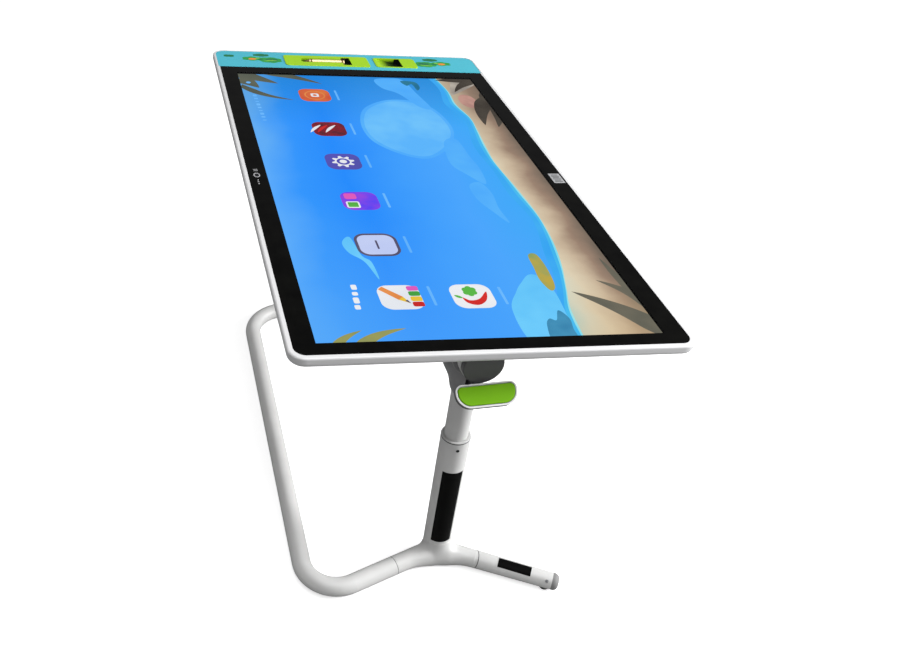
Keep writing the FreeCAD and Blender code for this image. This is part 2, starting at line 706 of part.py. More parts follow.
def make_shaft_nuts():
    nuts = []
    for side in (-1, 1):
        y = -EAR_OUTER_Y - NUT_T if side < 0 else EAR_OUTER_Y
        points = []
        for i in range(7):
            a = math.radians(60 * i)
            points.append(V(NUT_R * math.cos(a), y, AXIS_Z + NUT_R * math.sin(a)))
        hexagon = Part.Face(Part.makePolygon(points)).extrude(V(0, NUT_T, 0))
        nuts.append(hexagon.cut(cyl(SHAFT_R, 200, V(0, -100, AXIS_Z), Y_AXIS)))
    return Part.makeCompound(nuts)


def make_end_cap(side):
    """Round cover over the shaft nut."""
    base = V(0, side * EAR_OUTER_Y, AXIS_Z)
    out = V(0, side, 0)
    shell = cyl(CAP_R, CAP_DEPTH, base, out)
    far = base + V(out).multiply(CAP_DEPTH)
    rim = [e for e in shell.Edges if e.Closed and (e.CenterOfMass - far).Length < 0.5]
    shell = shell.makeFillet(1.6, rim)
    return shell.cut(cyl(CAP_R - 2.5, CAP_DEPTH - 2.5, base, out))


# ---- table top -------------------------------------------------------------------
def make_rails():
    """Two rectangular steel tubes that carry the top out from the hinge."""
    top_h = depth(FRAME_T)
    rails = []
    for side in (-1, 1):
        x0 = side * RAIL_X - RAIL_W / 2
        outer = box(x0, x0 + RAIL_W, RAIL_Y0, RAIL_Y1, top_h - RAIL_H, top_h)
        inner = box(x0 + RAIL_WALL, x0 + RAIL_W - RAIL_WALL, RAIL_Y0 - 1, RAIL_Y1 + 1,
                    top_h - RAIL_H + RAIL_WALL, top_h - RAIL_WALL)
        rail = outer.cut(inner)
        for y in bolt_rows():
            rail = rail.cut(cyl(BOLT_R, 200, V(-100, y, top_h - BOLT_DROP), X_AXIS))
        rails.append(rail)
    return tilted(Part.makeCompound(rails))


def make_frame():
    """Moulded rim with a soft lower edge, a ledge for the glass and a key window."""
    top = depth(0)
    body = slab(-FRAME_HALF_X, FRAME_HALF_X, FRAME_Y0, FRAME_Y1, depth(FRAME_T), top,
                FRAME_CORNER_R)
    body = body.makeFillet(9.0, edges_at_z(body, depth(FRAME_T)))
    body = body.makeFillet(3.2, edges_at_z(body, top))
    seat = slab(-GLASS_HALF_X - SEAT_GAP, GLASS_HALF_X + SEAT_GAP, GLASS_Y0 - SEAT_GAP,
                TRAY_Y0 + 2 * GLASS_CORNER_R, depth(GLASS_SET + GLASS_T), top + 1, GLASS_CORNER_R)
    far_seat = tray_slab(TRAY_HALF_X + SEAT_GAP, TRAY_Y0 - 0.5, TRAY_Y1 + SEAT_GAP, top + 1)
    hollow = slab(-GLASS_HALF_X + LEDGE, GLASS_HALF_X - LEDGE, GLASS_Y0 + LEDGE, TRAY_Y1 - LEDGE,
                  depth(FRAME_T) - 1, top, GLASS_CORNER_R - LEDGE)
    body = body.cut(seat).cut(far_seat).cut(hollow)
    return tilted(body.cut(key_box(0.25)).cut(key_stem_box(0.25)))


def key_box(gap):
    return box(FRAME_HALF_X - 2.0 - gap, FRAME_HALF_X + 5, KEY_Y0 - gap, KEY_Y1 + gap,
               depth(KEY_LOW + gap), depth(KEY_TOP - gap))


def key_stem_box(gap):
    return box(GLASS_HALF_X - LEDGE - 3, FRAME_HALF_X - 2.0, KEY_Y0 + KEY_STEM_INSET - gap,
               KEY_Y1 - KEY_STEM_INSET + gap, depth(KEY_LOW - 1 + gap), depth(KEY_TOP + 1 - gap))


def make_side_key():
    """Long side key with a stem that reaches the switch inside the rim."""
    face = box(FRAME_HALF_X - 0.8, FRAME_HALF_X + 1.4, KEY_Y0, KEY_Y1, depth(KEY_LOW),
               depth(KEY_TOP))
    rim = [e for e in face.Edges if e.BoundBox.XMin > FRAME_HALF_X + 1.3]
    face = face.makeFillet(0.9, rim)
    stem = box(GLASS_HALF_X - LEDGE - 1.0, FRAME_HALF_X - 0.8, KEY_Y0 + KEY_STEM_INSET,
               KEY_Y1 - KEY_STEM_INSET, depth(KEY_LOW - 1), depth(KEY_TOP + 1))
    return tilted(face.fuse(stem))


def make_glass():
    glass = slab(-GLASS_HALF_X, GLASS_HALF_X, GLASS_Y0, GLASS_Y1, depth(GLASS_SET + GLASS_T),
                 depth(GLASS_SET), GLASS_CORNER_R)
    square = box(-GLASS_HALF_X, GLASS_HALF_X, GLASS_Y1 - 40, GLASS_Y1,
                 depth(GLASS_SET + GLASS_T), depth(GLASS_SET))
    return tilted(glass.fuse(square).removeSplitter())


def make_lcd():
    return tilted(box(-PICTURE_HALF_X - 5, PICTURE_HALF_X + 5, TOP_MID_Y - PICTURE_HALF_Y - 5,
                      TOP_MID_Y + PICTURE_HALF_Y + 5, depth(LCD_LOW), depth(LCD_TOP)))


def make_light_guide():
    return tilted(box(-PICTURE_HALF_X - 3, PICTURE_HALF_X + 3, TOP_MID_Y - PICTURE_HALF_Y - 3,
                      TOP_MID_Y + PICTURE_HALF_Y + 3, depth(GUIDE_LOW), depth(GUIDE_TOP)))


def make_backlight_tray():
    hx = PICTURE_HALF_X + 9
    hy = PICTURE_HALF_Y + 9
    wall = 1.5
    outer = box(-hx, hx, TOP_MID_Y - hy, TOP_MID_Y + hy, depth(BACKLIGHT_LOW), depth(LCD_TOP))
    inner = box(-hx + wall, hx - wall, TOP_MID_Y - hy + wall, TOP_MID_Y + hy - wall,
                depth(BACKLIGHT_FLOOR), depth(LCD_TOP - 0.4))
    return tilted(outer.cut(inner))


def make_rear_cover():
    """Back shell: thin skin across the rim and a deeper housing for the electronics."""
    skin = slab(-GLASS_HALF_X + LEDGE + SEAT_GAP, GLASS_HALF_X - LEDGE - SEAT_GAP,
                GLASS_Y0 + LEDGE + SEAT_GAP, TRAY_Y1 - LEDGE - SEAT_GAP, depth(FRAME_T),
                depth(FRAME_T - SKIN), 9.0)
    shell = slab(-HOUSING_HALF_X, HOUSING_HALF_X, HOUSING_Y0, HOUSING_Y1, depth(HOUSING_DEPTH),
                 depth(FRAME_T - SKIN), 22.0)
    shell = shell.makeFillet(8.0, edges_at_z(shell, depth(HOUSING_DEPTH)))
    cavity = slab(-HOUSING_HALF_X + SKIN, HOUSING_HALF_X - SKIN, HOUSING_Y0 + SKIN,
                  HOUSING_Y1 - SKIN, depth(HOUSING_DEPTH - SKIN), depth(FRAME_T - SKIN - 1), 19.0)
    cavity = cavity.makeFillet(6.0, edges_at_z(cavity, depth(HOUSING_DEPTH - SKIN)))
    body = skin.fuse(shell).cut(cavity)
    for side in (-1, 1):
        x0 = side * RAIL_X - RAIL_W / 2 - 0.5
        body = body.cut(box(x0, x0 + RAIL_W + 1, HOUSING_Y0 - 1, HOUSING_Y0 + 30,
                            depth(FRAME_T + RAIL_H + 0.5), depth(FRAME_T)))
    for slot in vent_slots():
        body = body.cut(slot)
    for x, y in cover_screw_spots():
        body = body.cut(cyl(COVER_SCREW_R, 6, V(x, y, depth(FRAME_T + 2)), Z_AXIS))
    body = body.cut(inlet_box(0.2))
    return tilted(body)


def vent_slots():
    """Two rows of cooling slots through the floor of the housing."""
    slots = []
    for x in (-VENT_X, VENT_X):
        for i in range(VENT_COUNT):
            y = VENT_Y0 + i * VENT_PITCH
            slots.append(box(x - VENT_HALF, x + VENT_HALF, y, y + VENT_WIDTH,
                             depth(HOUSING_DEPTH + 1), depth(HOUSING_DEPTH - 4)))
    return slots


def cover_screw_spots():
    spots = []
    for x in (-COVER_SCREW_X, COVER_SCREW_X):
        for i in range(6):
            spots.append((x, FRAME_Y0 + 40 + i * 200))
    for x in (-140, 0, 140):
        spots.append((x, FRAME_Y1 - 30))
    return spots


def make_cover_screws():
    group = []
    for x, y in cover_screw_spots():
        group.append(screw(COVER_SCREW_R, 2.6, 3.4, 1.6, V(x, y, depth(FRAME_T + 1.6)), Z_AXIS))
    return tilted(Part.makeCompound(group))


def inlet_box(gap):
    return box(INLET_X0 - gap, INLET_X1 + gap, HOUSING_Y0 - 2, HOUSING_Y0 + 22, depth(38 + gap),
               depth(22 - gap))


def make_power_inlet():
    body = inlet_box(0.0)
    body = body.cut(box(INLET_X0 + 4, INLET_X1 - 4, HOUSING_Y0 - 3, HOUSING_Y0 + 12, depth(35),
                        depth(25)))
    middle = (INLET_X0 + INLET_X1) / 2
    for x in (middle - 10, middle, middle + 10):
        body = body.fuse(box(x - 1, x + 1, HOUSING_Y0 + 1, HOUSING_Y0 + 13, depth(31), depth(29)))
    return tilted(body)


def board(x0, x1, y0, y1, blocks):
    """Printed board with component blocks given as (x, y, length, width, height)."""
    body = box(x0, x1, y0, y1, depth(BOARD_LOW), depth(BOARD_TOP))
    for x, y, lx, ly, h in blocks:
        body = body.fuse(box(x0 + x, x0 + x + lx, y0 + y, y0 + y + ly, depth(BOARD_LOW + h),
                             depth(BOARD_LOW)))
    return tilted(body)


def make_main_board():
    blocks = [(20, 30, 34, 34, 8), (70, 24, 14, 20, 3), (70, 60, 14, 20, 3), (12, 90, 30, 12, 5)]
    return board(-50, 50, 260, 390, blocks)


def make_power_board():
    blocks = [(12, 14, 26, 34, 16), (48, 14, 18, 18, 15), (12, 70, 18, 40, 12), (46, 66, 20, 46, 10)]
    return board(105, 185, 120, 250, blocks)


def make_speakers():
    """Pair of flat speaker boxes in the housing's far corners."""
    pair = []
    y = (SPEAKER_Y0 + SPEAKER_Y1) / 2
    for x in (-SPEAKER_X, SPEAKER_X):
        case = box(x - SPEAKER_HALF, x + SPEAKER_HALF, SPEAKER_Y0, SPEAKER_Y1, depth(37), depth(19))
        case = case.cut(cyl(SPEAKER_CONE_R, 5, V(x, y, depth(38))))
        pair.append(case.fuse(cyl(8, 3.0, V(x, y, depth(35.0)))))
    return tilted(Part.makeCompound(pair))


# ---- writing-tool strip at the far end -------------------------------------------
def tray_slab(half_x, y0, y1, upper):
    """Plate with round corners at the far end only."""
    low = depth(GLASS_SET + GLASS_T)
    plate = slab(-half_x, half_x, y0, y1, low, upper, TRAY_CORNER_R)
    square = box(-half_x, half_x, y0, y0 + 2 * TRAY_CORNER_R, low, upper)
    return plate.fuse(square).removeSplitter()


def make_tray_panel():
    body = tray_slab(TRAY_HALF_X, TRAY_Y0, TRAY_Y1, depth(GLASS_SET))
    body = body.cut(tray_block(PEN_X0, PEN_X1, PEN_Y0, PEN_Y1, 0.2, 10, -5))
    body = body.cut(tray_block(ERASER_X0, ERASER_X1, ERASER_Y0, ERASER_Y1, 0.2, 10, -5))
    return tilted(body)


def tray_block(x0, x1, y0, y1, gap, low, high):
    return slab(x0 - gap, x1 + gap, y0 - gap, y1 + gap, depth(low), depth(high),
                INSERT_CORNER_R)


def insert_block(x0, x1, y0, y1):
    """Lime block that stands a little above the strip, with soft top edges."""
    body = tray_block(x0, x1, y0, y1, 0.0, INSERT_DEPTH, -INSERT_PROUD)
    return body.makeFillet(0.8, edges_at_z(body, depth(-INSERT_PROUD)))


def make_pen_insert():
    """Insert with a long trough for the stylus and a deeper pocket at its end."""
    body = insert_block(PEN_X0, PEN_X1, PEN_Y0, PEN_Y1)
    trough = slab(PEN_TIP_X - 6, PEN_END_X + 3, PEN_Y - 11, PEN_Y + 11, depth(9.6), depth(-2), 6.0)
    pocket = slab(PEN_END_X - 6, PEN_END_X + 14, PEN_Y - 23, PEN_Y + 19, depth(POCKET_DEPTH),
                  depth(-2), 3.0)
    length = PEN_END_X - PEN_TIP_X
    cradle = cyl(PEN_R + 0.15, length, V(PEN_TIP_X, PEN_Y, depth(PEN_DEPTH)), X_AXIS)
    return tilted(body.cut(trough).cut(pocket).cut(cradle))


def make_eraser_insert():
    """Insert whose floor slopes from the surface down to a pocket."""
    body = insert_block(ERASER_X0, ERASER_X1, ERASER_Y0, ERASER_Y1)
    y0 = ERASER_Y0 + 3
    x0 = ERASER_X0 + 5
    x1 = ERASER_X0 + 62
    corners = [V(x0, y0, depth(-2)), V(x0, y0, depth(-0.4)), V(x1 - 12, y0, depth(POCKET_DEPTH)),
               V(x1, y0, depth(POCKET_DEPTH)), V(x1, y0, depth(-2))]
    wedge = Part.Face(Part.makePolygon(corners + corners[:1]))
    return tilted(body.cut(wedge.extrude(V(0, ERASER_Y1 - ERASER_Y0 - 6, 0))))


def make_stylus_barrel():
    start = V(PEN_TIP_X + PEN_NIB_LENGTH, PEN_Y, depth(PEN_DEPTH))
    barrel = cyl(PEN_R, PEN_END_X - PEN_TIP_X - PEN_NIB_LENGTH, start, X_AXIS)
    ends = [e for e in barrel.Edges if e.Closed and e.BoundBox.XMin > PEN_END_X - 1]
    return tilted(barrel.makeFillet(1.5, ends))


def make_stylus_tip():
    base = V(PEN_TIP_X + PEN_NIB_LENGTH, PEN_Y, depth(PEN_DEPTH))
    length = PEN_NIB_LENGTH - PEN_NIB_R - 1.1
    cone = Part.makeCone(PEN_R - 0.3, PEN_NIB_R, length, base, V(-1, 0, 0))
    nib = Part.makeSphere(PEN_NIB_R, base - V(length, 0, 0))
    return tilted(cone.fuse(nib))


def make_sticker():
    """Blank silver plate on the user-side border of the glass."""
    return tilted(box(PLATE_X0, PLATE_X1, PLATE_Y0, PLATE_Y1, depth(GLASS_SET),
                      depth(GLASS_SET - 0.15)))


# ---- write the parts -------------------------------------------------------------
def main():
    os.makedirs("parts", exist_ok=True)
    shapes = {
        "base_hub": make_hub(),
        "base_tube": make_base_tube(),
        "foot_tube": make_foot_tube(),
        "foot_end_cap": make_foot_cap(),
        "far_leg_end_cap": make_far_leg_cap(),
        "foot_cap_screw": make_foot_screw(),
        "floor_glides": make_glides(),
        "foot_label_plate": make_foot_label(),
        "outer_column_tube": make_outer_column(),
        "column_guide_bush": make_guide_bush(),
        "column_set_screw": make_set_screw(),
        "column_label_plate": make_column_label(),
        "gas_spring_cylinder": make_gas_cylinder(),
        "gas_spring_bolt": make_gas_bolt(),
        "inner_column_tube": make_inner_column(),
        "inner_tube_slide_ring": make_slide_ring(),
        "gas_spring_rod": make_gas_rod(),
        "gas_spring_piston": make_gas_piston(),
        "head_casting": make_head_casting(),
        "hinge_bushes": make_head_bushes(),
        "lever_pivot_pin": make_lever_pin(),
        "release_pin": make_release_pin(),
        "lever_return_spring": make_return_spring(),
        "release_lever": make_lever(),
        "lever_pad": make_lever_pad(),
        "tilt_shaft": tilted(make_tilt_shaft()),
        "hinge_bracket": make_bracket(),
        "bracket_bolts": make_bracket_bolts(),
        "friction_washers": make_washers(),
        "shaft_nuts": tilted(make_shaft_nuts()),
        "hinge_end_cap_front": make_end_cap(-1),
        "hinge_end_cap_rear": make_end_cap(1),
        "support_rails": make_rails(),
        "panel_frame": make_frame(),
        "side_key": make_side_key(),
        "touch_glass": make_glass(),
        "lcd_panel": make_lcd(),
        "light_guide": make_light_guide(),
        "backlight_tray": make_backlight_tray(),
        "rear_cover": make_rear_cover(),
        "rear_cover_screws": make_cover_screws(),
        "power_inlet": make_power_inlet(),
        "main_board": make_main_board(),
        "power_board": make_power_board(),
        "speakers": make_speakers(),
        "tool_tray_panel": make_tray_panel(),
        "pen_tray_insert": make_pen_insert(),
        "eraser_tray_insert": make_eraser_insert(),
        "stylus_barrel": make_stylus_barrel(),
        "stylus_tip": make_stylus_tip(),
        "blank_plate": make_sticker(),
    }
    for name, shape in shapes.items():
        save(shape, name)


main()
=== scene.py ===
import json
import math

import bmesh
import bpy
from mathutils import Matrix, Vector


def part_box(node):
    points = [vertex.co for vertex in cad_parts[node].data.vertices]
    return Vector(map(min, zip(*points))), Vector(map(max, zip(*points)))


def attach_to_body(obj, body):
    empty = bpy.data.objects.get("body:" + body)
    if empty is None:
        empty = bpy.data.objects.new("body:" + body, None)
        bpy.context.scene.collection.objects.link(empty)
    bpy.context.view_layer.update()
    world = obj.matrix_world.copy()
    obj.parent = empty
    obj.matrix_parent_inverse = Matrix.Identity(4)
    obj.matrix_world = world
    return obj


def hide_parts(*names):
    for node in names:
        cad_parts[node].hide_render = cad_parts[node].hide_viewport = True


# Looks of the touchscreen table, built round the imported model.  Metres throughout, except
# that the prints on the table top are laid out in millimetres: s across it, l along it.

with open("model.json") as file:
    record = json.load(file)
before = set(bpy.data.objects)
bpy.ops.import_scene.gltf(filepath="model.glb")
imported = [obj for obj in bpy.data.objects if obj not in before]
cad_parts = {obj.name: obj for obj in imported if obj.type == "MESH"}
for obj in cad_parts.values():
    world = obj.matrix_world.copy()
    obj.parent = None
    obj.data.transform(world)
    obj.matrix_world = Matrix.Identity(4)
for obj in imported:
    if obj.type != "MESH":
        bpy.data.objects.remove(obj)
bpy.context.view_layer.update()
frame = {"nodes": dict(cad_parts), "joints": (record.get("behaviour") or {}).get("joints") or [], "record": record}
joints = {j["name"]: j for j in frame["joints"]}

MM = 0.001
UP = Vector((0, 0, 1))

# ---- the table top's own directions and face --------------------------------------
ACROSS = -Vector(joints["side_key_press"]["axis"]).normalized()
NORMAL = Vector(joints["stylus_lift"]["axis"]).normalized()
ALONG = Vector((0, 1, 0))
HINGE = Vector(joints["top_tilt"]["pos_m"])
FACE_HEIGHT = 65.3 * MM
PICTURE_MID_Y = 402 * MM
FACE_MID = HINGE + NORMAL * FACE_HEIGHT + ALONG * PICTURE_MID_Y
PICTURE_HALF_S = 264.7 * MM
PICTURE_HALF_L = 470.6 * MM


def on_top(s, l, depth):
    """Point on the table top: s across, l along, depth below the front face, in millimetres."""
    return FACE_MID + ACROSS * (s * MM) + ALONG * (l * MM) - NORMAL * (depth * MM)


# ---- node materials ---------------------------------------------------------------
def srgb(r, g, b):
    """Linear colour of an 8-bit display colour."""
    def lin(v):
        v = v / 255.0
        return v / 12.92 if v <= 0.04045 else ((v + 0.055) / 1.055) ** 2.4
    return (lin(r), lin(g), lin(b), 1.0)


class Shader:
    """Short way to build a node tree."""

    def __init__(self, name):
        self.mat = bpy.data.materials.new(name)
        self.mat.use_nodes = True
        self.tree = self.mat.node_tree
        self.tree.nodes.clear()
        self.out = self.add("ShaderNodeOutputMaterial")

    def add(self, kind, **values):
        """New node; a value sets the node's own field, or else the input of that name."""
        node = self.tree.nodes.new(kind)
        for key, value in values.items():
            if hasattr(node, key):
                setattr(node, key, value)
            else:
                node.inputs[key.replace("_", " ")].default_value = value
        return node

    def link(self, a, b):
        self.tree.links.new(a, b)

    def math(self, op, a, b=None, clamp=False):
        """One calculation on two numbers or sockets."""
        node = self.add("ShaderNodeMath", operation=op, use_clamp=clamp)
        for i, v in enumerate((a, b)):
            if v is None:
                continue
            if isinstance(v, (int, float)):
                node.inputs[i].default_value = v
            else:
                self.link(v, node.inputs[i])
        return node.outputs[0]

    def mix(self, fac, a, b):
        """Colour between a and b."""
        node = self.add("ShaderNodeMix", data_type="RGBA")
        for i, v in ((0, fac), (6, a), (7, b)):
            if isinstance(v, (int, float, tuple)):
                node.inputs[i].default_value = v
            else:
                self.link(v, node.inputs[i])
        return node.outputs[2]

    def blend(self, fac, a, b):
        """Shader between a and b."""
        node = self.add("ShaderNodeMixShader")
        for i, v in enumerate((fac, a, b)):
            self.link(v, node.inputs[i])
        return node.outputs[0]

    def coords(self, scale=(1, 1, 1)):
        """Place on the piece, stretched by scale."""
        tex = self.add("ShaderNodeTexCoord")
        mapping = self.add("ShaderNodeMapping")
        mapping.inputs["Scale"].default_value = scale
        self.link(tex.outputs["Object"], mapping.inputs["Vector"])
        return mapping.outputs[0]

    def offset_from(self, point):
        """Vector from point to the place on the piece."""
        tex = self.add("ShaderNodeTexCoord")
        offset = self.add("ShaderNodeVectorMath", operation="SUBTRACT")
        offset.inputs[1].default_value = point
        self.link(tex.outputs["Object"], offset.inputs[0])
        return offset.outputs[0]

    def along(self, offset, direction):
        """Length of offset along direction."""
        dot = self.add("ShaderNodeVectorMath", operation="DOT_PRODUCT")
        dot.inputs[1].default_value = direction
        self.link(offset, dot.inputs[0])
        return dot.outputs["Value"]

    def noise(self, scale, detail=3.0, stretch=(1, 1, 1)):
        """Cloudy pattern from 0 to 1."""
        node = self.add("ShaderNodeTexNoise", Scale=scale, Detail=detail, Roughness=0.55)
        self.link(self.coords(stretch), node.inputs["Vector"])
        return node.outputs["Fac"]

    def spread(self, value, low, high, out_low, out_high):
        """Maps low to high on to out_low to out_high, and holds the ends."""
        node = self.add("ShaderNodeMapRange")
        node.inputs[1].default_value = low
        node.inputs[2].default_value = high
        node.inputs[3].default_value = out_low
        node.inputs[4].default_value = out_high
        self.link(value, node.inputs[0])
        return node.outputs[0]

    def edge_mask(self, radius):
        """1 on sharp edges, 0 on flats."""
        bevel = self.add("ShaderNodeBevel", samples=4)
        bevel.inputs["Radius"].default_value = radius
        geo = self.add("ShaderNodeNewGeometry")
        dot = self.add("ShaderNodeVectorMath", operation="DOT_PRODUCT")
        self.link(bevel.outputs[0], dot.inputs[0])
        self.link(geo.outputs["Normal"], dot.inputs[1])
        return self.spread(dot.outputs["Value"], 0.995, 0.82, 0.0, 1.0)

    def principled(self, **values):
        return self.add("ShaderNodeBsdfPrincipled", **values)

    def finish(self, shader):
        self.link(shader, self.out.inputs["Surface"])
        return self.mat


def shade(colour, factor):
    """Darker or lighter colour."""
    return (colour[0] * factor, colour[1] * factor, colour[2] * factor, 1.0)


def depth_mask(sh, point, normal, near, far):
    """0 at near metres behind the plane through point, 1 at far metres behind it."""
    return sh.spread(sh.along(sh.offset_from(point), normal), -near, -far, 0.0, 1.0)


def surface(name, colour, rough=0.45, metal=0.0, grain=900.0, bump=0.12, mottle=0.05,
            wear=0.35, coat=0.0, stretch=(1, 1, 1), depth=0.0002, specular=0.5, painted_shade=None):
    """General material: grain bump, mottled colour, uneven sheen and light edge wear.

    painted_shade: (colour, point, normal, near, far) paints shade: the colour turns over to the given darker
    colour behind a plane."""
    sh = Shader(name)
    fine = sh.noise(grain, 4.0, stretch)
    broad = sh.noise(14.0, 5.0)
    smudge = sh.noise(55.0, 4.0)
    base = sh.mix(sh.spread(broad, 0.3, 0.7, 0.0, 1.0), shade(colour, 1 - mottle),
                  shade(colour, 1 + mottle))
    specks = sh.spread(fine, 0.42, 0.62, 0.0, 1.0)
    base = sh.mix(sh.math("MULTIPLY", specks, mottle * 2.2), base, shade(colour, 0.72))
    if wear:
        mask = sh.math("MULTIPLY", sh.edge_mask(0.0009), sh.spread(smudge, 0.4, 0.65, 0.1, wear))
        base = sh.mix(mask, base, shade(colour, 1.35 if max(colour[:3]) < 0.7 else 0.86))
    # Painted shade: the darker colour takes over behind the plane, standing in for shade in recesses and on
    # undersides.
    if painted_shade:
        base = sh.mix(depth_mask(sh, *painted_shade[1:]), base, painted_shade[0])
    bsdf = sh.principled(Metallic=metal)
    bsdf.inputs["Specular IOR Level"].default_value = specular
    sh.link(base, bsdf.inputs["Base Color"])
    sheen = sh.math("ADD", sh.spread(smudge, 0.3, 0.7, -0.07, 0.07), rough)
    sheen = sh.math("ADD", sheen, sh.spread(fine, 0.3, 0.7, -0.05, 0.05), clamp=True)
    sh.link(sheen, bsdf.inputs["Roughness"])
    bsdf.inputs["Coat Weight"].default_value = coat
    bsdf.inputs["Coat Roughness"].default_value = 0.12
    relief = sh.add("ShaderNodeBump", Strength=bump, Distance=depth)
    sh.link(fine, relief.inputs["Height"])
    sh.link(relief.outputs[0], bsdf.inputs["Normal"])
    return sh.finish(bsdf.outputs[0])


def glowing(sh, tone):
    """Finishes a material that shines with the tone itself."""
    glow = sh.add("ShaderNodeEmission", Strength=1.0)
    sh.link(tone, glow.inputs["Color"])
    return sh.finish(glow.outputs[0])


def lit(name, colour, second, scale=9.0):
    """Glowing picture element: two close tones mixed by a soft cloud, with a fine pixel grid."""
    sh = Shader(name)
    tone = sh.mix(sh.spread(sh.noise(scale, 2.0), 0.35, 0.65, 0.0, 1.0), colour, second)
    grid = sh.add("ShaderNodeTexWave", Scale=95.0, wave_type="BANDS", bands_direction="Y")
    sh.link(sh.coords(), grid.inputs["Vector"])
    tone = sh.mix(sh.spread(grid.outputs["Fac"], 0.0, 1.0, 0.0, 0.05), tone, shade(colour, 0.6))
    return glowing(sh, tone)


GLASS_SHINE = 0.25            # share of the full mirror image that the glass shows


def glass_material():
    """Cover glass: printed black border, clear picture area, faint finger smears."""
    sh = Shader("cover_glass")
    offset = sh.offset_from(FACE_MID)

    def within(direction, half):
        return sh.math("LESS_THAN", sh.math("ABSOLUTE", sh.along(offset, direction)), half)

    window = sh.math("MULTIPLY", within(ACROSS, PICTURE_HALF_S), within(ALONG, PICTURE_HALF_L))
    smear = sh.noise(7.0, 6.0, (1.0, 2.4, 1.0))
    rough = sh.spread(smear, 0.35, 0.7, 0.035, 0.16)
    border = sh.principled(Metallic=0.0)
    border.inputs["Specular IOR Level"].default_value = 0.03
    ink = sh.mix(sh.spread(sh.noise(30.0), 0.3, 0.7, 0.0, 1.0), srgb(5, 5, 5), srgb(10, 10, 9))
    sh.link(ink, border.inputs["Base Color"])
    sh.link(rough, border.inputs["Roughness"])
    clear = sh.add("ShaderNodeBsdfTransparent")
    gloss = sh.add("ShaderNodeBsdfGlossy", Color=(0.9, 0.93, 1.0, 1.0))
    sh.link(rough, gloss.inputs["Roughness"])
    fresnel = sh.add("ShaderNodeFresnel", IOR=1.3)
    geo = sh.add("ShaderNodeNewGeometry")
    outside = sh.math("SUBTRACT", 1.0, geo.outputs["Backfacing"])
    shine = sh.math("MULTIPLY", fresnel.outputs[0], sh.math("MULTIPLY", outside, GLASS_SHINE))
    pane = sh.blend(shine, clear.outputs[0], gloss.outputs[0])
    return sh.finish(sh.blend(window, border.outputs[0], pane))


def brushed(name, colour, rough=0.32):
    """Bare metal with fine lines along it."""
    return surface(name, colour, rough=rough, metal=1.0, grain=420.0, bump=0.08, mottle=0.06,
                   stretch=(1.0, 0.06, 1.0), wear=0.2)


def ink(name, colour, mottle=0.1):
    """Flat printing ink on the turquoise strip."""
    return surface(name, colour, rough=0.35, grain=1500, bump=0.04, mottle=mottle, wear=0.0,
                   specular=0.2)


PAD_MIDDLE = (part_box("lever_pad")[0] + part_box("lever_pad")[1]) / 2
PAD_SLOPE = math.radians(35)
PAD_NORMAL = Vector((0, -math.sin(PAD_SLOPE), math.cos(PAD_SLOPE)))

POWDER = surface("powder_coat_white", srgb(200, 200, 199), rough=0.42, grain=1300, bump=0.3,
                 mottle=0.05, wear=0.25, depth=0.0003)
# The head casting's grey, made darker to stand for the shade it sits in under the table top: partly its own
# colour, partly painted shade.
CASTING = surface("casting_grey", srgb(122, 122, 123), rough=0.45, grain=1100, bump=0.3,
                  mottle=0.06, wear=0.3, depth=0.0003)
FRAME_WHITE = surface("frame_white", srgb(194, 194, 195), rough=0.36, grain=1700, bump=0.07,
                      mottle=0.02, wear=0.2, coat=0.15)
COVER_GREY = surface("cover_texture", srgb(206, 207, 208), rough=0.6, grain=1100, bump=0.4,
                     mottle=0.03, depth=0.0003)
SOFT_GREY = surface("soft_grey_plastic", srgb(206, 206, 206), rough=0.5, grain=1500, bump=0.15,
                    mottle=0.03)
# Light grey lever whose body turns dark grey from 0.3 to 1.2 mm below the pad's plane: painted shade on its
# downward-facing underside.
LEVER_GREY = surface("lever_grey_painted_shade", srgb(226, 226, 226), rough=0.42, grain=1500, bump=0.12,
                     mottle=0.03, painted_shade=(srgb(70, 70, 72), PAD_MIDDLE, PAD_NORMAL, 0.0003, 0.0012))
DARK_CAP = surface("dark_cap_plastic", srgb(84, 84, 85), rough=0.5, grain=1400, bump=0.25,
                   mottle=0.05, specular=0.35)
DARK_POLYMER = surface("dark_polymer", srgb(38, 38, 40), rough=0.55, grain=1000, bump=0.2,
                       mottle=0.06)
RUBBER = surface("grey_rubber", srgb(96, 96, 96), rough=0.78, grain=700, bump=0.35, mottle=0.08,
                 wear=0.4)
FOOT_CAP = surface("foot_cap_rubber", srgb(122, 122, 122), rough=0.7, grain=800, bump=0.35,
                   mottle=0.08, wear=0.4)
BLACK_FILM = surface("black_film", srgb(7, 7, 7), rough=0.5, grain=1800, bump=0.05,
                     mottle=0.05, wear=0.0, specular=0.04)
PAD_GREEN = surface("pad_green_rubber", srgb(114, 176, 4), rough=0.55, grain=1200, bump=0.3,
                    mottle=0.06, wear=0.15, specular=0.15)
# Lime green that turns dark green from 1 to 8 mm below the front face: painted shade in the inserts' pockets and
# ramp.
LIME = surface("lime_plastic", srgb(140, 184, 16), rough=0.42, grain=1500, bump=0.12,
               mottle=0.04, coat=0.08, specular=0.3,
               painted_shade=(srgb(30, 52, 4), FACE_MID, NORMAL, 0.001, 0.008))
TURQUOISE = surface("turquoise_print", srgb(62, 164, 182), rough=0.34, grain=1600, bump=0.05,
                    mottle=0.03, coat=0.15, specular=0.3)
LEAF_PRINT = ink("leaf_print", srgb(40, 138, 62), 0.12)
LEAF_DARK = ink("leaf_dark_print", srgb(24, 104, 66))
LEAF_LIGHT = ink("leaf_light_print", srgb(112, 178, 60))
ORANGE_PRINT = ink("orange_print", srgb(210, 122, 48))
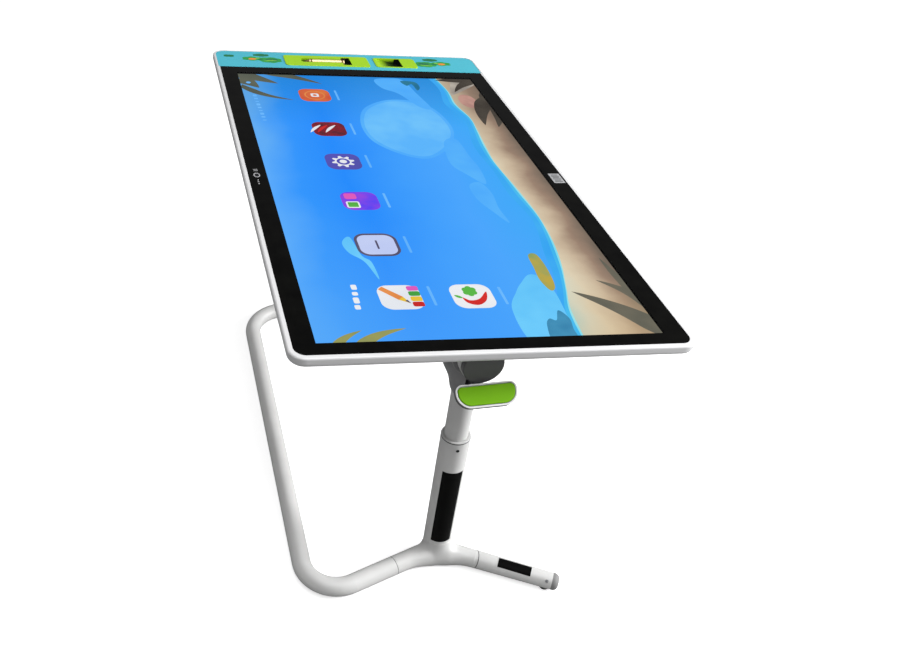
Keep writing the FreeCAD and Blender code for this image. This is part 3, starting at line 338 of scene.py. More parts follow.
# Near-black material for sheets laid in the tray pockets: painted shade for the shade inside them.
POCKET_SHADE = surface("pocket_painted_shade", srgb(14, 18, 8), rough=0.9, grain=900, bump=0.5,
                      mottle=0.2, wear=0.0, specular=0.1)
SILVER_FILM = surface("silver_film", srgb(176, 177, 179), rough=0.35, metal=0.5, grain=1500,
                      bump=0.05, mottle=0.04)
GREY_INK = surface("grey_ink", srgb(150, 150, 152), rough=0.4, grain=1500, bump=0.03,
                   mottle=0.08, wear=0.0)
DARK_INK = surface("dark_ink", srgb(46, 46, 48), rough=0.4, grain=1500, bump=0.03, mottle=0.1,
                   wear=0.0, specular=0.2)
GOLD = surface("stylus_gold", srgb(222, 200, 146), rough=0.28, metal=0.45, grain=1600,
               bump=0.04, mottle=0.04, coat=0.3)
BRONZE = surface("stylus_bronze", srgb(96, 70, 34), rough=0.3, metal=0.6, grain=1400, bump=0.05,
                 mottle=0.08)
BOARD = surface("board_green", srgb(26, 92, 52), rough=0.4, grain=500, bump=0.2, mottle=0.2)
ACRYLIC = surface("clear_acrylic", srgb(226, 232, 236), rough=0.15, grain=1500, bump=0.02,
                  mottle=0.02)
BRASS = brushed("bushing_brass", srgb(190, 150, 84))
ZINC = brushed("zinc_steel", srgb(186, 188, 192))
CHROME = brushed("chromed_rod", srgb(224, 226, 230), rough=0.1)
BLACK_STEEL = surface("black_steel", srgb(44, 44, 46), rough=0.42, metal=0.6, grain=1200,
                      bump=0.2, mottle=0.06)
DISPLAY_BLACK = surface("display_black", srgb(20, 20, 24), rough=0.2, grain=1600, bump=0.02,
                        mottle=0.1, wear=0.0, specular=0.2)

SLOT_LOOKS = {
    "powder_coat": POWDER, "grey_rubber": RUBBER, "zinc_steel": ZINC, "dark_steel": BLACK_STEEL,
    "black_film": BLACK_FILM, "grey_polymer": SOFT_GREY, "dark_polymer": DARK_POLYMER,
    "chromed_steel": CHROME, "brass_alloy": BRASS, "green_rubber": PAD_GREEN,
    "frame_plastic": FRAME_WHITE, "cover_glass": glass_material(),
    "display_black": DISPLAY_BLACK, "clear_acrylic": ACRYLIC, "cover_plastic": COVER_GREY,
    "board_green": BOARD, "turquoise_plastic": TURQUOISE, "lime_plastic": LIME,
    "silver_film": SILVER_FILM, "gold_plastic": GOLD,
}
NODE_LOOKS = {"hinge_end_cap_front": DARK_CAP, "hinge_end_cap_rear": DARK_CAP,
              "head_casting": CASTING, "release_lever": LEVER_GREY, "foot_end_cap": FOOT_CAP,
              "far_leg_end_cap": FOOT_CAP, "column_guide_bush": POWDER, "stylus_tip": BRONZE}


def dress_nodes():
    """Gives every CAD node the look of its record slot."""
    slots = {p["node"]: p["material_slot"] for p in frame["record"]["subparts"]}
    for name, obj in frame["nodes"].items():
        look = NODE_LOOKS.get(name, SLOT_LOOKS[slots[name]])
        obj.data.materials.clear()
        obj.data.materials.append(look)


# ---- mesh helpers -----------------------------------------------------------------
def new_object(name, mesh):
    """Object in the scene for a mesh."""
    obj = bpy.data.objects.new(name, mesh)
    bpy.context.scene.collection.objects.link(obj)
    return obj


def smooth(obj):
    """Smooth shading on every face."""
    for face in obj.data.polygons:
        face.use_smooth = True


def closed_object(name, bm):
    """Object from a closed bmesh, its faces turned outwards."""
    bmesh.ops.recalc_face_normals(bm, faces=bm.faces)
    mesh = bpy.data.meshes.new(name)
    bm.to_mesh(mesh)
    bm.free()
    return new_object(name, mesh)


def attach(obj, body):
    """Puts a piece on its body."""
    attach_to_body(obj, body)


def printed(name, layers):
    """Thin closed prints lying on the table top.

    layers: (material, outline of (s, l) points in mm, upper depth, lower depth)."""
    bm = bmesh.new()
    looks = []
    for material, outline, upper, lower in layers:
        if material not in looks:
            looks.append(material)
        index = looks.index(material)
        top = [bm.verts.new(on_top(s, l, upper)) for s, l in outline]
        low = [bm.verts.new(on_top(s, l, lower)) for s, l in outline]
        area = sum(a[0] * b[1] - b[0] * a[1] for a, b in zip(outline, outline[1:] + outline[:1]))
        if area < 0:
            top.reverse()
            low.reverse()
        faces = [bm.faces.new(top), bm.faces.new(list(reversed(low)))]
        for i in range(len(top)):
            j = (i + 1) % len(top)
            faces.append(bm.faces.new((top[j], top[i], low[i], low[j])))
        for face in faces:
            face.material_index = index
    bm.normal_update()
    bmesh.ops.triangulate(bm, faces=[f for f in bm.faces if len(f.verts) > 4],
                          ngon_method="EAR_CLIP")
    obj = closed_object(name, bm)
    for material in looks:
        obj.data.materials.append(material)
    attach(obj, "table_top")


def curve_through(points, steps=10, closed=False):
    """Catmull-Rom curve through 2-D points."""
    pts = [Vector(p) for p in points]
    count = len(pts) if closed else len(pts) - 1
    out = []
    for i in range(count):
        if closed:
            p0, p1, p2, p3 = (pts[(i + k - 1) % len(pts)] for k in range(4))
        else:
            p0, p1 = pts[max(i - 1, 0)], pts[i]
            p2, p3 = pts[i + 1], pts[min(i + 2, len(pts) - 1)]
        for k in range(steps):
            t = k / steps
            square = (2 * p0 - 5 * p1 + 4 * p2 - p3) * t * t
            cube = (3 * p1 - p0 - 3 * p2 + p3) * t ** 3
            out.append(tuple(0.5 * ((2 * p1) + (p2 - p0) * t + square + cube)))
    if not closed:
        out.append(tuple(pts[-1]))
    return out


ROUND_STEPS = 40              # corners round an ellipse
CORNER_STEPS = 8              # and round each corner of a rounded rectangle


def ellipse(s, l, rs, rl):
    """Ellipse centred on (s, l), with half widths rs and rl."""
    out = []
    for i in range(ROUND_STEPS):
        a = 2 * math.pi * i / ROUND_STEPS
        out.append((s + rs * math.cos(a), l + rl * math.sin(a)))
    return out


def rectangle(s0, s1, l0, l1):
    """Rectangle from (s0, l0) to (s1, l1)."""
    return [(s0, l0), (s1, l0), (s1, l1), (s0, l1)]


def rounded(s, l, width_s, width_l, radius):
    """Rounded rectangle centred on (s, l)."""
    out = []
    hs, hl = width_s / 2 - radius, width_l / 2 - radius
    for k, (cs, cl) in enumerate(((hs, hl), (-hs, hl), (-hs, -hl), (hs, -hl))):
        for i in range(CORNER_STEPS + 1):
            a = math.radians(90 * k + 90 * i / CORNER_STEPS)
            out.append((s + cs + radius * math.cos(a), l + cl + radius * math.sin(a)))
    return out


def frond(root, tip, bend, steps, first, half_width):
    """Outline from root to tip; bend bows it sideways, and half_width(u) is half its width
    at share u of its length.  The returning side ends at step number first."""
    b, t = Vector(root), Vector(tip)
    axis = t - b
    side = Vector((-axis.y, axis.x)).normalized()
    left, right = [], []
    for i in range(steps + 1):
        u = i / steps
        mid = b + axis * u + side * bend * math.sin(math.pi * u)
        left.append(tuple(mid + side * half_width(u)))
        if first <= i < steps:
            right.append(tuple(mid - side * half_width(u)))
    return left + list(reversed(right))


def leaf(root, tip, width, bend=0.0):
    """Leaf pointed at both ends."""
    return frond(root, tip, bend, 14, 1, lambda u: width / 2 * math.sin(math.pi * u) ** 0.75)


def blade(root, tip, width, bend):
    """Long leaf blade, widest near its root and drawn out to a fine tip."""
    return frond(root, tip, bend, 16, 0,
                 lambda u: width / 2 * (1 - u) ** 0.8 * min(1.0, 0.55 + 1.6 * u))


def cloud(s, l, rs, rl, bumps, depth_ratio=0.22):
    """Closed puffy outline."""
    out = []
    count = bumps * 10
    for i in range(count):
        a = 2 * math.pi * i / count
        puff = 1 + depth_ratio * abs(math.sin(a * bumps / 2))
        out.append((s + rs * puff * math.cos(a), l + rl * puff * math.sin(a)))
    return out


EDGE_S, EDGE_L = PICTURE_HALF_S / MM, PICTURE_HALF_L / MM
CLIP_S, CLIP_L = EDGE_S - 0.2, EDGE_L - 0.2      # prints stay just inside the picture's edge


def clipped(outline):
    """Keeps an outline inside the picture area."""
    return [(max(-CLIP_S, min(CLIP_S, s)), max(-CLIP_L, min(CLIP_L, l))) for s, l in outline]


# ---- the picture on the display ----------------------------------------------------
PICTURE_DEPTH = 4.2           # millimetres below the front face, in the gap over the display
LAYER = 0.06                  # step from one picture layer to the next
GROUND_THICKNESS = 0.15


def ramp_node(sh, value, stops):
    """Colour ramp through (position, colour) stops."""
    ramp = sh.add("ShaderNodeValToRGB")
    elements = ramp.color_ramp.elements
    elements[0].position, elements[0].color = stops[0]
    elements[1].position, elements[1].color = stops[-1]
    for position, colour in stops[1:-1]:
        elements.new(position).color = colour
    sh.link(value, ramp.inputs[0])
    return ramp.outputs[0]


def picture_axes(sh):
    """Along (0 near, 1 far) and across (0 user's side, 1 other side) picture coordinates."""
    offset = sh.offset_from(FACE_MID)
    return [sh.spread(sh.along(offset, direction), -half, half, 0.0, 1.0)
            for direction, half in ((ALONG, PICTURE_HALF_L), (ACROSS, -PICTURE_HALF_S))]


def sea_material():
    """Blue ground of the picture: tones that drift across the screen."""
    sh = Shader("screen_sea")
    along, across = picture_axes(sh)
    across = sh.math("ADD", across, sh.spread(sh.noise(4.0, 3.0), 0.2, 0.8, -0.07, 0.07))
    stops = ((0.0, srgb(60, 190, 244)), (0.16, srgb(64, 170, 250)), (0.34, srgb(74, 166, 254)),
             (0.5, srgb(62, 158, 254)), (0.72, srgb(36, 140, 254)), (0.88, srgb(50, 150, 254)),
             (1.0, srgb(92, 172, 252)))
    tone = ramp_node(sh, across, stops)
    tone = sh.mix(sh.spread(along, 0.74, 1.0, 0.0, 0.7), tone, srgb(22, 128, 206))
    near = sh.math("MULTIPLY", sh.spread(along, 0.0, 0.4, 0.75, 0.0),
                   sh.spread(across, 0.4, 1.0, 0.4, 1.0))
    tone = sh.mix(near, tone, srgb(84, 168, 250))
    left = sh.math("MULTIPLY", sh.spread(across, 0.86, 1.0, 0.0, 0.6),
                   sh.spread(along, 0.5, 1.0, 0.0, 1.0))
    return glowing(sh, sh.mix(left, tone, srgb(110, 176, 226)))


def sand_material():
    """Sand: cream at the water's edge, tan and brown towards the user's side."""
    sh = Shader("screen_sand")
    along, across = picture_axes(sh)
    across = sh.math("ADD", across, sh.spread(sh.noise(9.0, 4.0), 0.2, 0.8, -0.035, 0.035))
    stops = ((0.0, srgb(116, 104, 92)), (0.05, srgb(156, 132, 114)), (0.10, srgb(202, 182, 156)),
             (0.15, srgb(222, 208, 180)), (0.20, srgb(216, 218, 198)), (0.26, srgb(170, 216, 212)))
    tone = ramp_node(sh, across, stops)
    tone = sh.mix(sh.spread(along, 0.55, 1.0, 0.0, 0.45), tone, srgb(132, 112, 96))
    return glowing(sh, sh.mix(sh.spread(along, 0.0, 0.16, 0.5, 0.0), tone, srgb(208, 182, 140)))


def screen_ground():
    """Thin closed sheet that carries the blue ground."""
    printed("screen_ground",
            [(sea_material(), rectangle(-EDGE_S, EDGE_S, -EDGE_L, EDGE_L),
              PICTURE_DEPTH, PICTURE_DEPTH + GROUND_THICKNESS)])


def at(level):
    """Upper and lower depth of picture layer number level."""
    upper = PICTURE_DEPTH - level * LAYER
    return upper, upper + LAYER * 0.8


SHORE = [(184, CLIP_L), (192, 400), (189, 335), (200, 270), (197, 215), (190, 140), (186, 70),
         (193, -25), (198, -120), (193, -200), (180, -275), (160, -345), (144, -400),
         (136, -CLIP_L)]
WAVE_LENGTH = 31.0            # millimetres along the shore for one radian of a wave


def screen_beach():
    """Shallow water, foam and sand along the user's side, with a wavy shore."""
    def band(offset, wobble):
        edge = [(s - offset + wobble * math.sin(l / WAVE_LENGTH), l)
                for s, l in curve_through(SHORE, 8)]
        return edge + [(CLIP_S, -CLIP_L), (CLIP_S, CLIP_L)]

    shallows = lit("screen_shallows", srgb(56, 166, 244), srgb(66, 176, 246))
    ripple = lit("screen_ripple", srgb(66, 182, 240), srgb(78, 192, 242))
    foam = lit("screen_foam", srgb(128, 222, 240), srgb(160, 228, 232))
    bands = ((shallows, 20, 4.0), (ripple, 8, 2.0), (foam, 2.5, 1.0), (sand_material(), 0, 0.0))
    printed("screen_beach",
            [(material, band(offset, wobble)) + at(1 + k)
             for k, (material, offset, wobble) in enumerate(bands)])


BIG_CLOUD_HALO = [(-40, 170), (-42, 240), (-18, 308), (40, 350), (102, 345), (137, 298), (145, 210),
                  (115, 138), (68, 90), (28, 90), (-15, 124)]
BIG_CLOUD = [(-33, 175), (-35, 235), (-13, 300), (40, 341), (97, 336), (130, 293), (138, 210),
             (110, 145), (66, 99), (30, 99), (-9, 130)]
BIG_CLOUD_TAIL = [(109, 156), (138, 168), (143, 93), (147, 45), (139, -13), (115, 21), (95, 68)]
SMALL_CLOUD = [(105, -19), (129, -7), (139, -46), (134, -100), (136, -150), (118, -110),
               (104, -68)]
FAR_CLOUD = [(37, 456), (74, 466), (103, 456), (116, 385), (128, 312), (104, 318), (75, 383),
             (44, 413)]
WISP = [(-173, -208), (-157, -192), (-149, -246), (-137, -266), (-136, -314), (-148, -265),
        (-168, -238)]
NEAR_CLOUD = [(50, -400), (73, -354), (90, -330), (111, -308), (128, -316), (136, -356),
              (133, -403), (128, -440), (118, -480), (54, -480)]
NEAR_TREES = [(90, -440), (100, -424), (110, -428), (122, -404), (132, -424), (128, -450),
              (124, -480), (86, -480)]
FAR_TREES = [(96, 452), (104, 428), (118, 436), (122, 404), (132, 420), (128, 448)]


def screen_clouds():
    """Plain clouds over the water, and dim trees at both ends of the shore."""
    pale = lit("screen_cloud", srgb(112, 196, 254), srgb(92, 182, 254), 12.0)
    soft = lit("screen_cloud_soft", srgb(90, 182, 254), srgb(78, 172, 254), 12.0)
    cool = lit("screen_cloud_near", srgb(112, 206, 254), srgb(96, 194, 250), 12.0)
    teal = lit("screen_trees", srgb(72, 150, 190), srgb(56, 130, 172), 20.0)
    far = lit("screen_trees_far", srgb(34, 112, 150), srgb(50, 126, 150), 20.0)
    shapes = ((soft, 1, BIG_CLOUD_HALO), (pale, 2, BIG_CLOUD), (soft, 3, BIG_CLOUD_TAIL),
              (soft, 1, SMALL_CLOUD), (soft, 3, FAR_CLOUD), (cool, 1, WISP), (cool, 5, NEAR_CLOUD),
              (teal, 6, NEAR_TREES), (far, 5, FAR_TREES))
    printed("screen_clouds",
            [(material, clipped(curve_through(points, 8, True))) + at(level)
             for material, level, points in shapes])


SANDBAR = [(131, -252), (146, -250), (149, -290), (143, -340), (131, -352), (124, -323),
           (127, -289)]


def screen_plants():
    """Plain leaves in the picture's corners and a sandbar in the shallows."""
    olive = lit("screen_leaf_olive", srgb(98, 102, 88), srgb(84, 90, 80), 14.0)
    dark = lit("screen_leaf_dark", srgb(80, 74, 66), srgb(62, 56, 50), 14.0)
    grey = lit("screen_leaf_grey", srgb(112, 108, 94), srgb(94, 94, 84), 14.0)
    gold = lit("screen_leaf_gold", srgb(166, 160, 88), srgb(136, 148, 96), 14.0)
    shell = lit("screen_leaf_pale", srgb(186, 178, 166), srgb(150, 142, 134), 24.0)
    stone = lit("screen_stone", srgb(196, 150, 138), srgb(170, 128, 120), 30.0)
    bar = lit("screen_sandbar", srgb(190, 168, 72), srgb(120, 160, 110), 20.0)
    layers = []

    def blades(material, level, *shapes):
        for k, shape in enumerate(shapes):
            layers.append((material, clipped(blade(*shape))) + at(level + k))

    blades(olive, 5, ((-EDGE_S - 10, EDGE_L + 10), (-182, 423), 56, 0),
           ((-EDGE_S, EDGE_L - 62), (-161, 340), 26, -12),
           ((-214, EDGE_L + 16), (-86, 426), 40, 6),
           ((-EDGE_S - 6, EDGE_L - 20), (-226, 398), 60, 4))
    blades(grey, 5, ((EDGE_S + 16, -EDGE_L - 6), (164, -356), 54, -10),
           ((EDGE_S + 20, -418), (218, -326), 36, -12),
           ((EDGE_S + 14, -400), (252, -262), 30, 4),
           ((EDGE_S + 30, -350), (250, -300), 40, 0))
    blades(shell, 5, ((EDGE_S, EDGE_L + 20), (192, 380), 76, 0))
    layers.append((stone, ellipse(222, 352, 20, 34)) + at(6))
    blades(dark, 7, ((EDGE_S + 4, EDGE_L + 4), (178, 462), 44, 4),
           ((EDGE_S + 10, EDGE_L - 6), (206, 398), 34, -8),
           ((EDGE_S + 18, 400), (236, 312), 56, 8),
           ((EDGE_S + 20, 380), (222, 234), 58, -14),
           ((EDGE_S + 12, 330), (248, 226), 40, 4))
    blades(gold, 5, ((-244, -EDGE_L - 20), (-192, -440), 22, 8),
           ((-216, -EDGE_L - 24), (-126, -438), 28, 12))
    layers.append((bar, curve_through(SANDBAR, 8, True)) + at(6))
    printed("screen_plants", layers)


TILE_S, TILE_L, TILE_RADIUS = 66.0, 62.0, 18.0
ROW_S = -113.0                # the row of tiles
LOOSE_TILE = (-1, -363)       # the one tile beside the row
# places along the row
RED_L, CRIMSON_L, GEAR_L, VIOLET_L, BAR_L, PENCIL_L = 366, 206, 70, -75, -216, -362
CHILLI_CURVE = [(-18, -366), (-8, -374), (8, -370), (24, -352), (18, -374), (2, -386), (-14, -380)]


def gear(s, l, radius, teeth=8):
    """Toothed wheel."""
    out = []
    for i in range(teeth * 4):
        a = 2 * math.pi * (i + 0.5) / (teeth * 4)
        reach = radius if i % 4 in (0, 1) else radius * 0.7
        out.append((s + reach * math.cos(a), l + reach * math.sin(a)))
    return out


def screen_icons():
    """Plain launcher tiles with generic shapes and blank caption bars."""
    white = lit("icon_white", srgb(238, 240, 244), srgb(226, 230, 238))
    lilac = lit("icon_lilac", srgb(206, 216, 248), srgb(192, 204, 244))
    slate = lit("icon_slate", srgb(104, 96, 122), srgb(86, 82, 108))
    red = lit("icon_red", srgb(206, 82, 58), srgb(222, 120, 66), 16.0)
    crimson = lit("icon_crimson", srgb(150, 34, 46), srgb(70, 40, 52), 30.0)
    purple = lit("icon_purple", srgb(88, 84, 184), srgb(80, 82, 164))
    violet = lit("icon_violet", srgb(150, 72, 224), srgb(92, 70, 244), 26.0)
    pink = lit("icon_pink", srgb(236, 98, 178), srgb(220, 90, 190))
    green = lit("icon_green", srgb(92, 184, 74), srgb(62, 150, 62))
    orange = lit("icon_orange", srgb(236, 152, 84), srgb(222, 132, 70))
    yellow = lit("icon_yellow", srgb(240, 206, 70), srgb(232, 190, 60))
    scarlet = lit("icon_scarlet", srgb(214, 48, 44), srgb(190, 40, 40))
    caption = lit("icon_caption", srgb(112, 188, 255), srgb(98, 178, 252))
    layers = []

    def put(material, outline, level):
        layers.append((material, outline) + at(level))

    def tile(material, s, l, grow=0.0, level=8):
        put(material, rounded(s, l, TILE_S + grow, TILE_L + grow, TILE_RADIUS + grow / 2), level)

    def disc(material, s, l, radius, level):
        put(material, ellipse(s, l, radius, radius), level)

    tile(red, ROW_S, RED_L)
    disc(orange, ROW_S, RED_L, 22, 9)
    disc(red, ROW_S, RED_L, 19, 10)
    put(white, rounded(ROW_S, RED_L, 17, 17, 4), 11)
    disc(red, ROW_S, RED_L, 4.5, 12)

    tile(crimson, ROW_S, CRIMSON_L)
    for k, (material, shift) in enumerate(((white, -18), (scarlet, -4), (white, 12))):
        put(material, leaf((ROW_S - 22 + shift, CRIMSON_L - 16), (ROW_S + 4 + shift, CRIMSON_L + 18),
                           7, 2), 9 + k)

    tile(purple, ROW_S, GEAR_L)
    put(white, gear(ROW_S, GEAR_L, 22), 9)
    disc(purple, ROW_S, GEAR_L, 12.5, 10)
    disc(white, ROW_S, GEAR_L, 7, 11)

    tile(violet, ROW_S, VIOLET_L)
    put(pink, rounded(ROW_S - 15, VIOLET_L + 16, 22, 20, 5), 9)
    put(white, rounded(ROW_S - 15, VIOLET_L - 13, 24, 22, 4), 9)
    put(green, rounded(ROW_S - 15, VIOLET_L - 13, 18, 16, 2), 10)

    tile(slate, ROW_S - 3, BAR_L, 6.0)
    tile(lilac, ROW_S - 3, BAR_L, -4.0, 9)
    put(slate, rounded(ROW_S - 3, BAR_L, 3.4, 26, 1.6), 10)

    def pencil(*points):
        return [(ROW_S + s, PENCIL_L + l) for s, l in points]

    tile(white, ROW_S - 2, PENCIL_L)
    for k, material in enumerate((pink, green, yellow, scarlet)):
        put(material, rounded(ROW_S + 22, PENCIL_L + 22 - 13.5 * k, 18, 12, 3.5), 9)
    put(orange, pencil((-32, 21), (-25, 28), (2, 1), (-6, -7)), 10)
    put(yellow, pencil((-6, -7), (2, 1), (10, -16)), 11)
    put(slate, pencil((3, -10), (7, -7), (11, -17)), 12)

    tile(white, *LOOSE_TILE)
    put(green, cloud(-2, -350, 10, 11, 6), 9)
    put(scarlet, curve_through(CHILLI_CURVE, 8, True), 10)
    put(green, leaf((-18, -368), (-30, -360), 6), 11)

    for l in (RED_L, CRIMSON_L, GEAR_L, VIOLET_L, BAR_L - 2, PENCIL_L):
        put(caption, rounded(ROW_S + 48, l + 2, 4.5, 50, 2.2), 8)
    put(caption, rounded(48, LOOSE_TILE[1], 4.5, 46, 2.2), 8)
    for k in range(9):
        put(caption, rounded(-241 + 0.6 * k, 358 - 14.5 * k, 8, 9.5 - 3 * (k % 3), 2), 8)
    for k, length in enumerate((13, 9, 15, 11)):
        put(white, rounded(-181 - 1.6 * k, -334 - 17 * k, 9, length, 2.6), 8)
    disc(caption, -246, 424, 5, 11)
    printed("screen_icons", layers)


# ---- prints on the rim and tray ------------------------------------------------------
RIM_PRINT = (0.36, 0.4)       # upper and lower depth of a print on the strip or border, mm
INK_STEP = 0.03               # each further ink lies this much higher
CLUSTERS = ((1, -206), (-1, 203))      # side to face and place of each leaf cluster


def tray_decals():
    """Simple leaf clusters printed on the turquoise strip."""
    layers = []

    def put(material, outline, step=0):
        layers.append((material, outline, RIM_PRINT[0] - step * INK_STEP, RIM_PRINT[1]))

    for side, s0 in CLUSTERS:
        put(LEAF_PRINT, cloud(s0 + side * 24, 543, 24, 14, 7, 0.15))
        put(LEAF_DARK, cloud(s0 + side * 28, 544, 12, 7, 5, 0.2), 1)
        put(LEAF_LIGHT, leaf((s0 + side * 8, 536), (s0 + side * 40, 541), 5, 2), 2)
        put(LEAF_PRINT, cloud(s0 - side * 16, 549, 20, 10, 6, 0.2), 1)
        put(ORANGE_PRINT, ellipse(s0 - side * 16, 547, 9, 5), 2)
        put(LEAF_LIGHT, ellipse(s0 - side * 4, 552, 5, 3), 2)
        put(LEAF_DARK, ellipse(s0 + side * 2, 546, 6, 4), 3)
        put(LEAF_DARK, cloud(s0 + side * 6, 570, 17, 7.5, 6, 0.15))
    put(LEAF_DARK, cloud(-273, 562, 11, 6, 4, 0.2))
    printed("tray_decals", layers)


SHADE_SHEET = 0.4                  # thickness of the dark sheet on a pocket's wall, mm
FLOOR_SHADE_DEPTHS = (11.4, 11.9)   # depths of the dark sheet on its floor
WALL_SHADE_DEPTHS = (0.2, 11.3)     # and of its walls
POCKETS = ((-17.5, 1.9, 525, 565.5), (109, 119.9, 519.5, 567.5))


def pocket_shade_sheets():
    """Near-black sheets on the floor, end wall and far wall of the two pockets in the lime inserts: painted shade
    for the deep, shaded pockets.
    """
    layers = []
    for s0, s1, l0, l1 in POCKETS:
        layers += [(POCKET_SHADE, rectangle(s0, s1, l0, l1)) + FLOOR_SHADE_DEPTHS,
                   (POCKET_SHADE, rectangle(s1 - SHADE_SHEET, s1, l0, l1)) + WALL_SHADE_DEPTHS,
                   (POCKET_SHADE, rectangle(s0 + 1, s1 - SHADE_SHEET, l1 - SHADE_SHEET, l1)) + WALL_SHADE_DEPTHS]
    printed("tray_pocket_painted_shade", layers)


MARK_S = -283                 # middle of the left border
PLATE_S = 284                 # middle of the silver plate on the right border
PLATE_PRINT = (0.21, 0.26)    # upper and lower depth of the plate's print, mm


def border_marks():
    """Generic ring and dots on the left border, and plain bars on the silver plate."""
    layers = [(GREY_INK, ellipse(MARK_S, 10, 6.0, 8.0)) + RIM_PRINT,
              (DISPLAY_BLACK, ellipse(MARK_S, 10, 4.2, 5.8), RIM_PRINT[0] - INK_STEP, RIM_PRINT[1])]
    for k in range(3):
        layers.append((GREY_INK, ellipse(MARK_S, -8 - 6.5 * k, 1.5, 1.5)) + RIM_PRINT)
    for k in range(2):
        layers.append((GREY_INK, rounded(MARK_S, 26 + 5 * k, 8, 1.8, 0.8)) + RIM_PRINT)
    for k in range(6):
        bar = rounded(PLATE_S, -9.5 + 5.0 * k, 16.0 - 3.0 * (k % 2), 2.0, 0.7)
        layers.append((DARK_INK, bar) + PLATE_PRINT)
    printed("border_marks", layers)


# ---- base hub: one smooth casting ------------------------------------------------------
def level_direction(degrees):
    """Level direction at an angle from +X."""
    return Vector((math.cos(math.radians(degrees)), math.sin(math.radians(degrees)), 0))


LEG, FOOT = level_direction(198.5), level_direction(-29.2)
LEG_R, FOOT_R, COLUMN_R = 0.0175, 0.0170, 0.0250
LEG_START, FOOT_START = Vector((0, 0, 0.0195)), Vector((0, 0, 0.0190))
COLUMN_START, STEM_LENGTH = Vector((0, 0, 0.030)), 0.09
LEG_SEAM, FOOT_SEAM = 0.093, 0.076
HUB_TOP, HUB_FLOOR, HUB_BOTTOM = 0.058, 0.012, 0.0026
COLUMN_BORE_R, BOLT_HOLE_R = 0.0222, 0.0041
PAD_RECESS_R, PAD_RECESS_TOP = 0.0162, 0.003
HEAD_RECESS_R, HEAD_RECESS_TOP = 0.0077, 0.008
COLUMN_BLEND = (0.010, 0.022)      # left and right of the column
ARM_BLEND = (0.012, 0.058)         # behind and in front of the two arms
BLEND_RUN = 0.03                   # the blends change over this distance
HUB_VOXEL = 0.0022
FIELD_STEP = 0.0004                # step for the field's slope
SETTLE_ROUNDS, SETTLE_SHARE = 7, 0.9
OVERRUN = 0.03                     # the arms are made this much too long, and cut back


def rod_distance(p, start, direction, radius):
    """Distance from p to a round bar that starts at start and runs on without end."""
    q = p - start
    t = max(0.0, q.dot(direction))
    return (q - direction * t).length - radius


def smooth_union(a, b, blend):
    """Nearer of two distances, rounded off where they are close."""
    h = max(blend - abs(a - b), 0.0) / blend
    return min(a, b) - h * h * blend * 0.25


def hub_field(p):
    """Smooth union of the column stem, the near leg and the foot."""
    column = rod_distance(p, COLUMN_START, UP, COLUMN_R)
    leg = rod_distance(p, LEG_START, LEG, LEG_R)
    foot = rod_distance(p, FOOT_START, FOOT, FOOT_R)
    front = max(0.0, min(1.0, -p.y / BLEND_RUN))
    right = max(0.0, min(1.0, (p.x + BLEND_RUN / 2) / BLEND_RUN))
    arms = smooth_union(leg, foot, ARM_BLEND[0] + (ARM_BLEND[1] - ARM_BLEND[0]) * front)
    return smooth_union(arms, column,
                        COLUMN_BLEND[0] + (COLUMN_BLEND[1] - COLUMN_BLEND[0]) * right)


def hub_slope(p):
    """Slope of the hub's field."""
    steps = [FIELD_STEP * Vector(e) for e in ((1, 0, 0), (0, 1, 0), (0, 0, 1))]
    return Vector([hub_field(p + e) - hub_field(p - e) for e in steps]) / (2 * FIELD_STEP)


def apply_modifiers(obj):
    """Works an object's modifiers into its mesh."""
    mesh = bpy.data.meshes.new_from_object(obj.evaluated_get(bpy.context.evaluated_depsgraph_get()))
    obj.modifiers.clear()
    obj.data = mesh


def lathe(name, profile, count=72):
    """Closed turned solid about Z through (radius, height) points."""
    bm = bmesh.new()
    rings = []
    for radius, height in profile:
        angles = [2 * math.pi * i / count for i in range(count)]
        rings.append([bm.verts.new((radius * math.cos(a), radius * math.sin(a), height))
                      for a in angles])
    for low, high in zip(rings, rings[1:]):
        for i in range(count):
            j = (i + 1) % count
            bm.faces.new((low[i], low[j], high[j], high[i]))
    bm.faces.new(list(reversed(rings[0])))
    bm.faces.new(rings[-1])
    return closed_object(name, bm)


def bore_hub(obj):
    """Column socket, bolt hole and pad recess of the hub."""
    cutter = lathe("hub_bore", [(PAD_RECESS_R, -0.002), (PAD_RECESS_R, PAD_RECESS_TOP),
                                (HEAD_RECESS_R, PAD_RECESS_TOP), (HEAD_RECESS_R, HEAD_RECESS_TOP),
                                (BOLT_HOLE_R, HEAD_RECESS_TOP), (BOLT_HOLE_R, HUB_FLOOR),
                                (COLUMN_BORE_R, HUB_FLOOR), (COLUMN_BORE_R, HUB_TOP + 0.004)])
    cut = obj.modifiers.new("bore", "BOOLEAN")
    cut.operation = "DIFFERENCE"
    cut.solver = "EXACT"
    cut.object = cutter
    apply_modifiers(obj)
    bpy.data.objects.remove(cutter)


